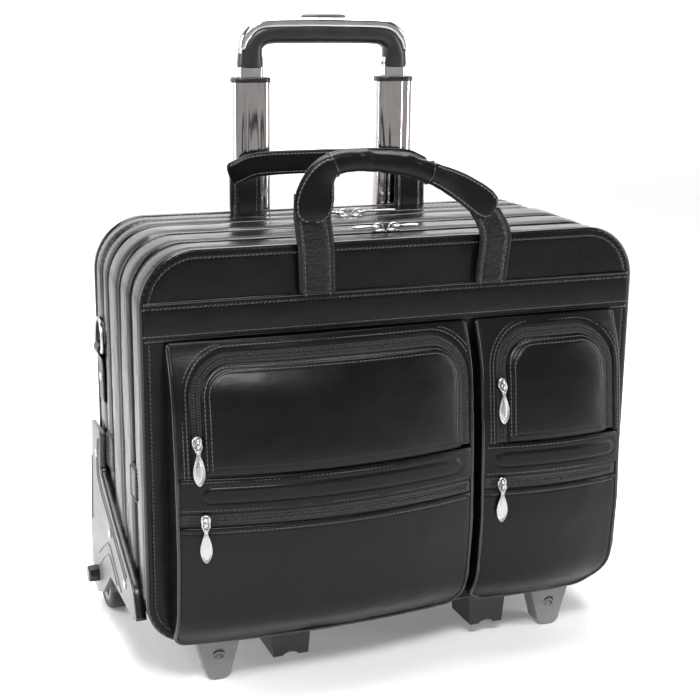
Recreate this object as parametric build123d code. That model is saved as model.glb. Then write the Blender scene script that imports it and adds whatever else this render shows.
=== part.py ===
"""Rolling laptop case: a soft leather case in three sections on a wheeled trolley frame.

Millimetres, +Z up, +X to the case's right as seen from the front, +Y to the back.
The origin is on the floor under the middle of the case's overall box.
Depths ("d") are counted backward from the plane of the front panel.
"""

from build123d import *
import math
import os

os.makedirs("parts", exist_ok=True)

# Driving dimensions
FRONT_Y = -87.0          # Y of the front panel's plane
HALF = 222.5             # half width of the case
Z_BOTTOM = 43.0          # underside of the case body
Z_TOP = 377.0            # top of the case body
R_TOP = 46.0             # corner radii of the panels
R_BOTTOM = 38.0
PANEL = 4.0              # board and leather panel
GUSSET = 3.0             # gusset wall
GUSSET_IN = 2.0          # gussets sit this far inside the panel's outline
TAPE_IN = 3.0            # zipper tapes sit a little deeper
TAPE = 1.5
SIDE_LOW = 82.0          # the opening sections' sides end here; below it is the fixed bottom
D_FRONT_GUSSET = (4.0, 33.0)
D_FILE_TAPES = ((33.0, 36.8), (37.2, 41.0))
D_MID_FRONT = (41.0, 77.0)
D_DIVIDER = (77.0, 79.0)
D_MID_REAR = (79.0, 119.0)
D_LAPTOP_TAPES = ((119.0, 122.8), (123.2, 127.0))
D_REAR_GUSSET = (127.0, 178.0)
D_BACK = (178.0, 182.0)
Z_TAPE_END = 190.0

# Wheels and their housings
WHEEL_R = 35.0
WHEEL_X = (202.0, 222.0)
AXLE_D = 187.0
AXLE_R = 4.0
BEARING_R = 11.0
RUNNING = 0.05           # radial clearance of a running fit
WELL_X = 196.0           # the case is cut away outside this for the wheels
WELL_D = 143.0
WELL_Z = 79.5

# Trolley tubes: outside widths in X and Y, all of one wall
TUBE_X = 71.0
TUBE_D = 195.0
TUBE_WALL = 1.2
OUTER_TUBE = (39.0, 22.0)
MIDDLE_TUBE = (35.0, 18.0)
INNER_TUBE = (23.0, 12.0)
Z_OUTER_TUBE = (52.5, 364.0)
Z_MIDDLE_TUBE = (171.0, 494.0)
Z_INNER_TUBE = (184.0, 516.0)
Z_GRIP = (506.0, 552.0)
BUTTON_TRAVEL = 4.0


def depth(d):
    return FRONT_Y + d


def block(x, d, z):
    """A box from its two limits in X, depth and Z."""
    size = (x[1] - x[0], d[1] - d[0], z[1] - z[0])
    middle = ((x[0] + x[1]) / 2, depth((d[0] + d[1]) / 2), (z[0] + z[1]) / 2)
    return Pos(*middle) * Box(*size)


def plate_xz(face, d0, d1):
    """A face drawn in (x, z), given thickness from depth d0 to d1."""
    return extrude(Plane.XZ.offset(-depth(d1)) * face, d1 - d0)


def plate_yz(face, x0, x1):
    """A face drawn in (y, z), given thickness from x0 to x1."""
    return extrude(Plane.YZ.offset(x0) * face, x1 - x0)


def outline(inset):
    """The case's front outline in (x, z): softer corners at the top than at the bottom."""
    low = Z_BOTTOM + inset
    high = Z_TOP - inset
    face = Pos(0, (low + high) / 2) * Rectangle(2 * (HALF - inset), high - low)
    face = fillet(face.vertices().group_by(Axis.Y)[-1], R_TOP - inset)
    return fillet(face.vertices().group_by(Axis.Y)[0], R_BOTTOM - inset)


def ring(inset, wall, d):
    return plate_xz(outline(inset) - outline(inset + wall), d[0], d[1])


def tape(d):
    """One half of a long zipper, over the top and down both sides."""
    return ring(TAPE_IN, TAPE, d) & above(Z_TAPE_END)


def above(z):
    return block((-300, 300), (-100, 300), (z, 700))


def below(z):
    return block((-300, 300), (-100, 300), (-100, z))


def mirrored(shape):
    return mirror(shape, Plane.YZ)


def rounded_bar(width, height, radius, z):
    """An upright bar of rounded-rectangle section, centred on X = 0 and depth 0."""
    section = RectangleRounded(width, height, radius)
    return Pos(0, 0, z[0]) * extrude(section, z[1] - z[0])


def at_tube(side, shape):
    return Pos(side * TUBE_X, depth(TUBE_D), 0) * shape


nodes = {}

# ---------------------------------------------------------------- case body
# Leather tabs over the lower ends of the two long zippers, sewn to the gusset behind each
TAB_X = (HALF - GUSSET_IN, HALF - GUSSET_IN + 2.6)
TAB_LIFT = 0.3           # the tab stands clear of the section that opens under it


def tab_pair(d, d_free, z):
    tab = fillet(block(TAB_X, d, z).edges().filter_by(Axis.X), 3)
    tab -= block((TAB_X[0] - 1, TAB_X[0] + TAB_LIFT), (d[0] - 1, d_free), (0, 400))
    return Part() + [tab, mirrored(tab)]


wells = Part() + [
    block((WELL_X, 240), (WELL_D, 240), (0, WELL_Z)),
    block((-240, -WELL_X), (WELL_D, 240), (0, WELL_Z)),
]

nodes["back_panel"] = plate_xz(outline(3), *D_BACK) - wells
laptop_tabs = tab_pair((117.5, 147), D_REAR_GUSSET[0], (156, 190))
nodes["rear_gusset"] = ring(GUSSET_IN, GUSSET, D_REAR_GUSSET) - wells + laptop_tabs
nodes["rear_gusset"] += tape(D_LAPTOP_TAPES[1])
nodes["bottom_gusset"] = ring(GUSSET_IN, GUSSET, (5.0, 127.0)) & below(SIDE_LOW - 0.5)
nodes["rear_piping"] = (ring(-1.5, 4.5, (178.5, 183.0)) - wells)

nodes["base_board"] = block((-183, 183), (8, 176), (48.0, 52.0))
nodes["laptop_pad"] = fillet(block((-190, 190), (138, 146), (52, 320)).edges().filter_by(Axis.Y), 12)

# ---------------------------------------------------------------- middle section
file_tabs = tab_pair((25, 48), D_MID_FRONT[0], (161, 193))
nodes["middle_front_gusset"] = (ring(GUSSET_IN, GUSSET, D_MID_FRONT) & above(SIDE_LOW)) + file_tabs
nodes["middle_front_gusset"] += tape(D_FILE_TAPES[1])
nodes["middle_rear_gusset"] = (ring(GUSSET_IN, GUSSET, D_MID_REAR) & above(SIDE_LOW)) + tape(D_LAPTOP_TAPES[0])
divider = plate_xz(outline(GUSSET_IN), *D_DIVIDER) & above(SIDE_LOW)
divider += plate_xz(outline(GUSSET_IN + GUSSET + 0.5), *D_DIVIDER) & above(54)
nodes["section_divider"] = divider

# ---------------------------------------------------------------- front section
nodes["front_panel"] = plate_xz(outline(3), 0, PANEL)
nodes["front_piping"] = ring(-1.5, 4.5, (-1.0, 3.6))
nodes["front_gusset"] = (ring(GUSSET_IN, GUSSET, D_FRONT_GUSSET) & above(SIDE_LOW)) + tape(D_FILE_TAPES[0])


# ---------------------------------------------------------------- front pockets
# Heights of the pocket's cross-sections, and how far its sides stand out at each
POCKET_Z = (46.0, 56.0, 75.0, 130.0, 200.0, 262.0, 290.0, 303.0)
POCKET_OUT = (3.0, 14.0, 25.0, 30.0, 27.0, 20.0, 10.0, 3.0)
POCKET_CROWN = (0.55, 0.8, 1.0, 1.0, 1.0, 0.9, 0.55, 0.3)   # share of the full bulge at each height
SKIN = 2.2


class Pocket:
    """One front pocket: its limits in X and how far its middle bulges past its sides."""

    def __init__(self, side, x0, x1, bulge):
        self.side = side
        self.x0 = x0
        self.x1 = x1
        self.bulge = bulge
        self.mid = (x0 + x1) / 2
        half = (x1 - x0) / 2
        self.arc_r = (half ** 2 + bulge ** 2) / (2 * bulge)

    def at_height(self, values, z):
        """One of the tables above, read between its heights."""
        for i in range(len(POCKET_Z) - 1):
            if POCKET_Z[i] <= z <= POCKET_Z[i + 1]:
                t = (z - POCKET_Z[i]) / (POCKET_Z[i + 1] - POCKET_Z[i])
                return values[i] + t * (values[i + 1] - values[i])
        return 0.0

    def stand(self, z):
        """How far the pocket's sides stand out from the panel at height z."""
        return self.at_height(POCKET_OUT, z)

    def front(self, x, z):
        """Depth of the pocket's outer face at (x, z)."""
        half = (self.x1 - self.x0) / 2
        crown = self.bulge * self.at_height(POCKET_CROWN, z)
        radius = (half ** 2 + crown ** 2) / (2 * crown)
        rise = math.sqrt(radius ** 2 - (x - self.mid) ** 2) - math.sqrt(radius ** 2 - half ** 2)
        return -(self.stand(z) + rise)

    def section(self, z, out, share, inset):
        """Closed outline at one height: flat back on the panel, crowned front."""
        a = self.x0 + inset
        b = self.x1 - inset
        low = max(out - inset, 0.8)
        crown = low + self.bulge * share
        back = 0.0
        if inset > 0:
            back = 1.0
        left_back = (a, depth(back), z)
        right_back = (b, depth(back), z)
        left = (a, depth(-low), z)
        right = (b, depth(-low), z)
        top = (self.mid, depth(-crown), z)
        edges = [
            Line(left_back, left),
            ThreePointArc(left, top, right),
            Line(right, right_back),
            Line(right_back, left_back),
        ]
        return make_face(Wire(edges))

    def solid(self, inset):
        faces = []
        last = len(POCKET_Z) - 1
        for i, (z, out, share) in enumerate(zip(POCKET_Z, POCKET_OUT, POCKET_CROWN)):
            level = z
            if i == 0:
                level = z + inset
            if i == last:
                level = z - inset
            faces.append(self.section(level, out, share, inset))
        return loft(faces, ruled=True)


def arch_face(x0, x1, z0, z1, radius):
    """A flap's outline in (x, z): square at the bottom, rounded at the top."""
    face = Pos((x0 + x1) / 2, (z0 + z1) / 2) * Rectangle(x1 - x0, z1 - z0)
    return fillet(face.vertices().group_by(Axis.Y)[-1], radius)


FLAP_Z = (206.0, 287.0)
FLAP_ZIP = 9.0
FLAP_R = 26.0
TAPE_R = 32.0
CUT_D = (-80.0, -4.0)    # cutters reach from in front of the pockets to just off the panel
LOWER_ZIP_Z = (158.0, 168.0)
GAP = 0.4
pocket_tapes = []
left_pocket = Pocket("left", -202.0, 57.5, 18.0)
right_pocket = Pocket("right", 68.0, 202.0, 8.0)
FLAP_X = {"left": (-180.5, 46.5), "right": (90.0, 187.5)}

for pocket in (left_pocket, right_pocket):
    name = pocket.side
    shell = (pocket.solid(0) - pocket.solid(SKIN)) & plate_xz(outline(3.4), -90, 0)
    x0, x1 = FLAP_X[name]
    flap_cut = plate_xz(arch_face(x0, x1, FLAP_Z[0], FLAP_Z[1], FLAP_R), *CUT_D)
    tape_out = arch_face(x0 - FLAP_ZIP, x1 + FLAP_ZIP, FLAP_Z[0], FLAP_Z[1] + FLAP_ZIP, TAPE_R)
    tape_in = arch_face(x0 - GAP, x1 + GAP, FLAP_Z[0], FLAP_Z[1] + GAP, FLAP_R + GAP)
    hole_cut = plate_xz(tape_out, *CUT_D)
    zip_cut = plate_xz(tape_out - tape_in, *CUT_D)
    low_zip = block((pocket.x0 + 10, pocket.x1 - 6), CUT_D, LOWER_ZIP_Z)
    nodes[name + "_pocket_flap"] = shell & flap_cut
    pocket_tapes += [shell & zip_cut, shell & low_zip]
    nodes[name + "_pocket"] = shell - hole_cut - low_zip
nodes["pocket_zippers"] = Part() + pocket_tapes

# ---------------------------------------------------------------- zipper sliders and pulls
SLIDER = (8.0, 12.0, 3.0)
SLIDER_CORNER = 2.4
EAR = (1.0, 4.2, 4.2)    # the two ears that hold the pull's pin
EAR_X = 3.5
EAR_Z = 4.7
PIN_LONG = 8.0
BARREL_R = 2.0
BARREL_LONG = 5.4
PIN_Z = 5.4
PIN_R = 0.9
PULL = {"length": 34.0, "width": 9.0, "neck": 3.6, "thick": 1.6}


def slider_body():
    """Slider in its own frame: x along the hinge pin, y toward the pull's end, z outward."""
    base = Pos(0, 0, SLIDER[2] / 2) * Box(*SLIDER)
    base = fillet(base.edges().filter_by(Axis.Z), SLIDER_CORNER)
    body = base
    for side in (-1, 1):
        body += Pos(side * EAR_X, 0, EAR_Z) * Box(*EAR)
    return body + Rot(0, 90, 0) * Pos(-PIN_Z, 0, 0) * Cylinder(PIN_R, PIN_LONG)


def slider_pull(length):
    barrel = Rot(0, 90, 0) * Pos(-PIN_Z, 0, 0) * Cylinder(BARREL_R, BARREL_LONG)
    bore = Rot(0, 90, 0) * Pos(-PIN_Z, 0, 0) * Cylinder(PIN_R + RUNNING, PIN_LONG)
    drop_y = length - PULL["width"] / 2
    drop = Pos(0, drop_y * 0.72) * Ellipse(PULL["width"] / 2, length * 0.30)
    neck = Pos(0, length * 0.25) * Rectangle(PULL["neck"], length * 0.5)
    plate = Pos(0, 0, PIN_Z - PULL["thick"] / 2) * extrude(drop + neck, PULL["thick"])
    return barrel + plate - bore


def place(shape, x, d, z, pin, outward):
    """Put a slider or pull with its pin along one direction and its top facing outward."""
    spot = Plane(origin=(x, depth(d), z), x_dir=pin, z_dir=outward)
    return spot.location * shape


FLAP_SEAT = 1.3          # sliders ride this far clear of the surface
LOWER_SEAT = 0.8
FLAP_RUN_Z = (200.0, 262.0)   # heights between which a flap slider's line is drawn
for pocket, x, z in ((left_pocket, -186.0, 227.0), (right_pocket, 84.0, 250.0)):
    slope = (pocket.stand(FLAP_RUN_Z[1]) - pocket.stand(FLAP_RUN_Z[0])) / (FLAP_RUN_Z[1] - FLAP_RUN_Z[0])
    facing = (0, -1, -slope)
    d = pocket.front(x, z) - FLAP_SEAT
    nodes[pocket.side + "_flap_slider"] = place(slider_body(), x, d, z, (-1, 0, 0), facing)
    nodes[pocket.side + "_flap_pull"] = place(slider_pull(PULL["length"]), x, d, z, (-1, 0, 0), facing)

for pocket, x in ((left_pocket, -181.0), (right_pocket, 84.0)):
    z = sum(LOWER_ZIP_Z) / 2
    lean = math.asin((x - pocket.mid) / pocket.arc_r)
    facing = (math.sin(lean), -math.cos(lean), 0)
    pin = (-math.cos(lean), -math.sin(lean), 0)
    d = pocket.front(x, z) - LOWER_SEAT
    nodes[pocket.side + "_lower_slider"] = place(slider_body(), x, d, z, pin, facing)
    nodes[pocket.side + "_lower_pull"] = place(slider_pull(PULL["length"]), x, d, z, pin, facing)

TOP_SLIDER_Z = Z_TOP - 0.8
TOP_PULL = 38.0
MEET_X = 1.0             # where each pair of top sliders meets
HALF_APART = 7.0
for zip_name, d in (("laptop_zipper", 123.2), ("file_zipper", 38.7)):
    for side, sign in (("left", -1), ("right", 1)):
        x = MEET_X + sign * HALF_APART
        pin = (0, -sign, 0)
        body = place(slider_body(), x, d, TOP_SLIDER_Z, pin, (0, 0, 1))
        pull = place(slider_pull(TOP_PULL), x, d, TOP_SLIDER_Z, pin, (0, 0, 1))
        nodes[f"{zip_name}_{side}_slider"] = body
        nodes[f"{zip_name}_{side}_pull"] = pull

# ---------------------------------------------------------------- carry handles
STRAP = 5.0
HINGE_Z = 382.0
FRONT_HANDLE_D = -6.0
FRONT_STRAPS = ((-92, -62), (64, 95))
REAR_HANDLE_D = 176.0


def strap_piece(x, d_mid, z, thick):
    piece = block(x, (d_mid - thick / 2, d_mid + thick / 2), z)
    return fillet(piece.edges().filter_by(Axis.X), thick / 2 - 0.3)


band = block((-219, 219), (-1.8, 0), (305.5, 335))
for x in FRONT_STRAPS:
    band += block(x, (-5.0, 0), (335, 373.5))
nodes["front_band"] = band


def arch(points, d, radius, grip_r):
    """A round grip along a path of straight runs joined by arcs, drawn in (x, z)."""
    path = FilletPolyline(*[(x, depth(d), z) for x, z in points], radius=radius)
    start = Plane(origin=path @ 0, z_dir=path % 0)
    return sweep(start * Circle(grip_r), path=path)


grip_points = [(-77, 424), (-74, 438), (-50, 444), (0, 438), (50, 420), (78, 400)]
front_handle = arch(grip_points, FRONT_HANDLE_D, 7.0, 8.5)
front_handle += strap_piece(FRONT_STRAPS[0], FRONT_HANDLE_D, (379, 430), STRAP)
front_handle += strap_piece(FRONT_STRAPS[1], FRONT_HANDLE_D, (379, 408), STRAP)
nodes["front_handle"] = front_handle

rear_handle = plate_xz(Pos(0, 420.5) * RectangleRounded(196, 23, 11), REAR_HANDLE_D - 4, REAR_HANDLE_D + 4)
for x in ((-98, -66), (66, 98)):
    rear_handle += strap_piece(x, REAR_HANDLE_D, (384, 420), STRAP)
nodes["rear_handle"] = rear_handle

# ---------------------------------------------------------------- side rings
RING_Z = 262.0
RING_D = 160.0
CHAPE_X = (HALF - GUSSET_IN + 0.3, HALF - GUSSET_IN + 2.8)
RING_X = HALF - GUSSET_IN + 4.2
chapes = []
rivets = []
for side, sign in (("left", -1), ("right", 1)):
    chape = block(CHAPE_X, (RING_D - 10, RING_D + 10), (214, RING_Z + 3.5))
    chape += block((CHAPE_X[0], RING_X + 3.5), (RING_D - 10, RING_D + 10), (RING_Z - 3.5, RING_Z + 3.5))
    groove = Pos(RING_X, depth(RING_D), RING_Z) * Rot(90, 0, 0) * Cylinder(1.9, 30)
    rivet_hole = Pos(CHAPE_X[0], depth(RING_D), 236) * Rot(0, 90, 0) * Cylinder(2.0, 12)
    chape = chape - groove - rivet_hole
    rivet = Pos(CHAPE_X[1] - 1, depth(RING_D), 236) * Rot(0, 90, 0) * Cylinder(2.0, 2.0)
    rivet += Pos(CHAPE_X[1] + 0.7, depth(RING_D), 236) * Rot(0, 90, 0) * Cylinder(4.5, 1.4)
    bar = Pos(RING_X, depth(RING_D), RING_Z) * Rot(90, 0, 0) * Cylinder(1.85, 28)
    loop_face = Pos(0, RING_Z + 13) * RectangleRounded(32, 29.6, 12)
    loop_face -= Pos(0, RING_Z + 13) * RectangleRounded(25, 22.6, 8.5)
    loop_face -= Pos(0, RING_Z - 8) * Rectangle(60, 16)
    loop_face -= Pos(0, RING_Z) * Rectangle(22, 10)
    ring_body = Pos(0, depth(RING_D), 0) * plate_yz(loop_face, RING_X - 1.6, RING_X + 1.6) + bar
    if sign < 0:
        chape, rivet, ring_body = mirrored(chape), mirrored(rivet), mirrored(ring_body)
    chapes.append(chape)
    rivets.append(rivet)
    nodes[side + "_d_ring"] = ring_body
nodes["ring_chapes"] = Part() + chapes

# ---------------------------------------------------------------- wheel housings and wheels
HOUSING_X = (224.4, 228.0)
housing_side = [
    (192, 186), (150, 186), (155, 149), (101, 120), (25, 86), (14, 62), (30, 56),
    (126, 56), (165, 24), (190, 14), (207, 17), (214, 40), (214, 80), (206, 120), (197, 150),
]
ARCH_R = (38.5, 41.5)


def wheel_axis(x0, x1, radius):
    return Pos((x0 + x1) / 2, depth(AXLE_D), WHEEL_R) * Rot(0, 90, 0) * Cylinder(radius, x1 - x0)


side_face = make_face(Polyline(*[(depth(d), z) for d, z in housing_side], close=True))
plate = plate_yz(side_face, *HOUSING_X)
flange = plate_yz(side_face, HALF - GUSSET_IN + 0.3, HOUSING_X[0]) & block((0, 300), (0, 142), (57, 200))
arch_shell = wheel_axis(WELL_X + 0.5, HOUSING_X[0], ARCH_R[1]) - wheel_axis(0, 300, ARCH_R[0])
arch_shell &= block((0, 300), (100, 214), (31, 100))
inner_wall = wheel_axis(WELL_X + 0.5, WELL_X + 3.5, ARCH_R[1]) & block((0, 300), (100, 214), (22, 100))
housing = plate + flange + arch_shell + inner_wall
housing -= wheel_axis(WELL_X - 1, 240, AXLE_R)
screw_spots = [(172, 160), (120, 100), (60, 76)]
housing_screws = Part()
for d, z in screw_spots:
    hole = Pos(HOUSING_X[1] - 1.25, depth(d), z) * Rot(0, 90, 0) * Cylinder(2.0, 2.5)
    head = Pos(HOUSING_X[1] + 0.6, depth(d), z) * Rot(0, 90, 0) * Cylinder(4.0, 1.2)
    slot = Pos(HOUSING_X[1] + 1.2, depth(d), z) * Box(1.2, 5.0, 1.0)
    housing -= hole
    housing_screws += hole + head - slot

axle = wheel_axis(WELL_X + 0.5, HOUSING_X[1] + 4.0, AXLE_R)
cap_face = RegularPolygon(8.4, 8)
cap = Pos(HOUSING_X[1], depth(AXLE_D), WHEEL_R) * Rot(0, 90, 0) * extrude(cap_face, 10.0)
cap = cap - wheel_axis(HOUSING_X[1] - 1, HOUSING_X[1] + 4.0, AXLE_R)
cap = chamfer(cap.faces().sort_by(Axis.X)[-1].edges(), 1.4)
tyre = wheel_axis(WHEEL_X[0], WHEEL_X[1], WHEEL_R)
tyre = fillet(tyre.edges(), 4) - wheel_axis(190, 240, 27.0)
hub = wheel_axis(WHEEL_X[0] + 0.5, WHEEL_X[1] - 0.5, 27.0) - wheel_axis(190, 240, 5.5)
hub -= wheel_axis(WHEEL_X[0] - 1, WHEEL_X[0] + 7.6, BEARING_R + RUNNING)
hub -= wheel_axis(WHEEL_X[1] - 7.6, WHEEL_X[1] + 1, BEARING_R + RUNNING)
for k in range(5):
    angle = math.radians(72 * k + 90)
    hub -= Pos(212, depth(AXLE_D) + 18.8 * math.cos(angle), WHEEL_R + 18.8 * math.sin(angle)) * (
        Rot(0, 90, 0) * Cylinder(4.6, 40))
bearing_ring = wheel_axis(WHEEL_X[0] + 0.5, WHEEL_X[0] + 7.5, BEARING_R)
bearing_ring += wheel_axis(WHEEL_X[1] - 7.5, WHEEL_X[1] - 0.5, BEARING_R)
bearing_ring -= wheel_axis(190, 240, AXLE_R)
for name, shape in {"tyre": tyre, "wheel_hub": hub}.items():
    nodes["right_" + name] = shape
    nodes["left_" + name] = mirrored(shape)
fixed = {"wheel_housings": housing, "axles": axle, "axle_caps": cap, "wheel_bearings": bearing_ring}
for name, shape in fixed.items():
    nodes[name] = Part() + [shape, mirrored(shape)]
nodes["screws_and_rivets"] = Part() + [housing_screws, mirrored(housing_screws)] + rivets

# ---------------------------------------------------------------- feet under the front edge
FOOT_X = 160.0
foot_face = make_face(Polyline((-21.5, 44.5), (21.5, 44.5), (10.5, 6), (-10.5, 6), close=True))
foot_face += Pos(0, 7.4) * Ellipse(10.9, 8.0)
foot_body = plate_xz(foot_face, 7, 26) & above(0)
foot_body -= plate_xz(Pos(0, 24) * Circle(5), 5, 9)
SKID_X = 95.0
skid_face = make_face(Polyline((-19, 44.8), (19, 44.8), (16, 12), (-16, 12), close=True))
skid_face -= Pos(0, 10) * Ellipse(8.0, 5.0)
skid_body = plate_xz(skid_face, 7, 46)
nodes["front_feet"] = Part() + [Pos(sign * FOOT_X, 0, 0) * foot_body for sign in (-1, 1)]
nodes["skid_blocks"] = Part() + [Pos(sign * SKID_X, 0, 0) * skid_body for sign in (-1, 1)]

# ---------------------------------------------------------------- trolley
sleeve = block((-112, 112), (182, 209), (50, 366))
sleeve = fillet(sleeve.edges().filter_by(Axis.Z).group_by(Axis.Y)[-1], 10)
sleeve -= block((-109.5, 109.5), (182, 206.5), (52.5, 370))
nodes["trolley_cover"] = sleeve


def tube(size, z):
    outer = rounded_bar(size[0], size[1], 4.0, z)
    return outer - rounded_bar(size[0] - 2 * TUBE_WALL, size[1] - 2 * TUBE_WALL, 2.8, z)


GLIDE = 0.3              # clearance of the plastic guides around the tubes
collar_body = rounded_bar(44, 22.6, 5, (364, 371)) - rounded_bar(
    MIDDLE_TUBE[0] + 2 * GLIDE, MIDDLE_TUBE[1] + 2 * GLIDE, 4.3, (360, 380))
cap_body = rounded_bar(37, 20, 5, (Z_MIDDLE_TUBE[1], 500)) - rounded_bar(
    INNER_TUBE[0] + 2 * GLIDE, INNER_TUBE[1] + 2 * GLIDE, 4.3, (480, 520))
groove = Pos(0, -MIDDLE_TUBE[1] / 2, 333) * Box(3.0, 1.0, 400)
grooves = Part() + [Pos(x, 0, 0) * groove for x in (-8, 0, 8)]
lock_holes = Part() + [Pos(-17, 0, z) * Rot(0, 90, 0) * Cylinder(2.2, 6) for z in (460, 474, 488)]
middle_tube = tube(MIDDLE_TUBE, Z_MIDDLE_TUBE) - grooves - lock_holes
both = (-1, 1)
tube_parts = {
    "outer_tubes": tube(OUTER_TUBE, Z_OUTER_TUBE), "middle_tubes": middle_tube,
    "inner_tubes": tube(INNER_TUBE, Z_INNER_TUBE), "tube_collars": collar_body,
    "middle_tube_caps": cap_body,
}
for name, shape in tube_parts.items():
    nodes[name] = Part() + [at_tube(side, shape) for side in both]

# Grip: two legs and a bar, with a cap strip over the top and a sprung button in its middle
leg_half = 12.25
grip_out = TUBE_X + leg_half
grip_face = Pos(0, (Z_GRIP[0] + Z_GRIP[1]) / 2) * Rectangle(2 * grip_out, Z_GRIP[1] - Z_GRIP[0])
grip_face = fillet(grip_face.vertices().group_by(Axis.Y)[-1], 20)
opening = Pos(0, (Z_GRIP[0] + 528) / 2 - 2) * Rectangle(2 * (TUBE_X - leg_half), 528 - Z_GRIP[0] + 4)
opening = fillet(opening.vertices().group_by(Axis.Y)[-1], 8)
GRIP_D = (TUBE_D - 8.5, TUBE_D + 8.5)
grip_body = plate_xz(grip_face - opening, *GRIP_D)
strip_d = (TUBE_D - 6.5, TUBE_D + 6.5)
strip_in = Pos(0, (400 + Z_GRIP[1] - 2) / 2) * Rectangle(2 * (grip_out - 2), Z_GRIP[1] - 2 - 400)
strip_in = fillet(strip_in.vertices().group_by(Axis.Y)[-1], 18)
strip_face = (grip_face - strip_in) & (Pos(0, 545) * Rectangle(300, 30))
strip_body = plate_xz(strip_face, *strip_d)
button_well = block((-22.5, 22.5), (TUBE_D - 4.9, TUBE_D + 4.9), (537, 560))
grip_body -= plate_xz(strip_face, *strip_d)
grip_body -= button_well
for s in both:
    grip_body -= at_tube(s, rounded_bar(INNER_TUBE[0], INNER_TUBE[1], 4.0, (500, Z_INNER_TUBE[1])))
nodes["trolley_grip"] = grip_body
nodes["grip_cap_strip"] = strip_body - button_well
button = block((-22, 22), (TUBE_D - 4.5, TUBE_D + 4.5), (544, 555))
button = fillet(button.edges().filter_by(Axis.Y).group_by(Axis.Z)[-1], 3)
nodes["release_button"] = button
coil = Helix(pitch=1.7, height=5.0, radius=2.8)
wire = Plane(origin=coil @ 0, z_dir=coil % 0) * Circle(0.4)
spring = sweep(wire, path=coil)
nodes["button_spring"] = Part() + [Pos(x, depth(TUBE_D), 537.5) * spring for x in (-13, 13)]

for name, shape in nodes.items():
    export_step(shape, f"parts/{name}.step")
print(len(nodes), "nodes")
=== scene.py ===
"""Looks of the rolling laptop case: sewn leather, zippers, metal and moulded plastic around the CAD frame.

Sizes are in millimetres in the case's own terms: x to the right, d backward from the front panel,
z up. at() turns them into the frame's metres.
"""

import math

import bmesh
import bpy
import numpy as np
from mathutils import Matrix, Vector, noise


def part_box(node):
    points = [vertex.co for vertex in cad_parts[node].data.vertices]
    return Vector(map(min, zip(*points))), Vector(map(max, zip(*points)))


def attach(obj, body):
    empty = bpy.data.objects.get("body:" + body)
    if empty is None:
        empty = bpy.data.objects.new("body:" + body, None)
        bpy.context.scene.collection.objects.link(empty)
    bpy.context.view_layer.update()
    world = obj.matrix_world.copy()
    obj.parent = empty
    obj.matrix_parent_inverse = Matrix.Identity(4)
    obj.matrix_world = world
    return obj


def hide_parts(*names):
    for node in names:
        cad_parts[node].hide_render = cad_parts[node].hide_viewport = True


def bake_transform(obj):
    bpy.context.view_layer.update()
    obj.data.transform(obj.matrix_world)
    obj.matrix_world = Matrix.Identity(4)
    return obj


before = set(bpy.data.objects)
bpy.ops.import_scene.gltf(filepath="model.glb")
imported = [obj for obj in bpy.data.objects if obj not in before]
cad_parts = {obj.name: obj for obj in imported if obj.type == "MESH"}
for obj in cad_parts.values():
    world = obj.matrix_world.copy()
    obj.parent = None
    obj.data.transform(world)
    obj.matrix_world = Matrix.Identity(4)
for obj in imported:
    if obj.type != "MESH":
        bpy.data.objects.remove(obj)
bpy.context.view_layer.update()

MM = 0.001
PANEL_LOW, PANEL_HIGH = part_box("front_panel")
PANEL_MARGIN = 3.0
FRONT = PANEL_LOW[1]
HALF = PANEL_HIGH[0] / MM + PANEL_MARGIN
Z_LOW = PANEL_LOW[2] / MM - PANEL_MARGIN
Z_HIGH = PANEL_HIGH[2] / MM + PANEL_MARGIN
R_TOP = 46.0
R_LOW = 38.0
WORD = {-1: "left", 1: "right"}
LETTER = {-1: "a", 1: "b"}


def at(x, d, z):
    return (x * MM, FRONT + d * MM, z * MM)


def place_all(points):
    """Points in (x, d, z) millimetres as frame coordinates."""
    p = np.asarray(points, float)
    return np.stack([p[..., 0] * MM, FRONT + p[..., 1] * MM, p[..., 2] * MM], -1)


# ------------------------------------------------------------------ materials
def new_material(name):
    mat = bpy.data.materials.new(name)
    mat.use_nodes = True
    nodes = mat.node_tree.nodes
    links = mat.node_tree.links
    return mat, nodes, links, nodes["Principled BSDF"]


def noise_node(nodes, links, coords, scale, detail=3.0, rough=0.5):
    n = nodes.new("ShaderNodeTexNoise")
    n.inputs["Scale"].default_value = scale
    n.inputs["Detail"].default_value = detail
    n.inputs["Roughness"].default_value = rough
    links.new(coords, n.inputs["Vector"])
    return n


def ramp(nodes, links, source, low, high, from_min=0.3, from_max=0.7):
    m = nodes.new("ShaderNodeMapRange")
    m.inputs["From Min"].default_value = from_min
    m.inputs["From Max"].default_value = from_max
    m.inputs["To Min"].default_value = low
    m.inputs["To Max"].default_value = high
    links.new(source, m.inputs["Value"])
    return m.outputs["Result"]


def colour_mix(nodes, links, factor, low, high):
    mix = nodes.new("ShaderNodeMix")
    mix.data_type = "RGBA"
    mix.inputs["A"].default_value = (*low, 1)
    mix.inputs["B"].default_value = (*high, 1)
    links.new(factor, mix.inputs["Factor"])
    return mix.outputs["Result"]


def bump(nodes, links, height, strength, distance, normal=None):
    b = nodes.new("ShaderNodeBump")
    b.inputs["Strength"].default_value = strength
    b.inputs["Distance"].default_value = distance
    links.new(height, b.inputs["Height"])
    if normal is not None:
        links.new(normal, b.inputs["Normal"])
    return b.outputs["Normal"]


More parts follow.
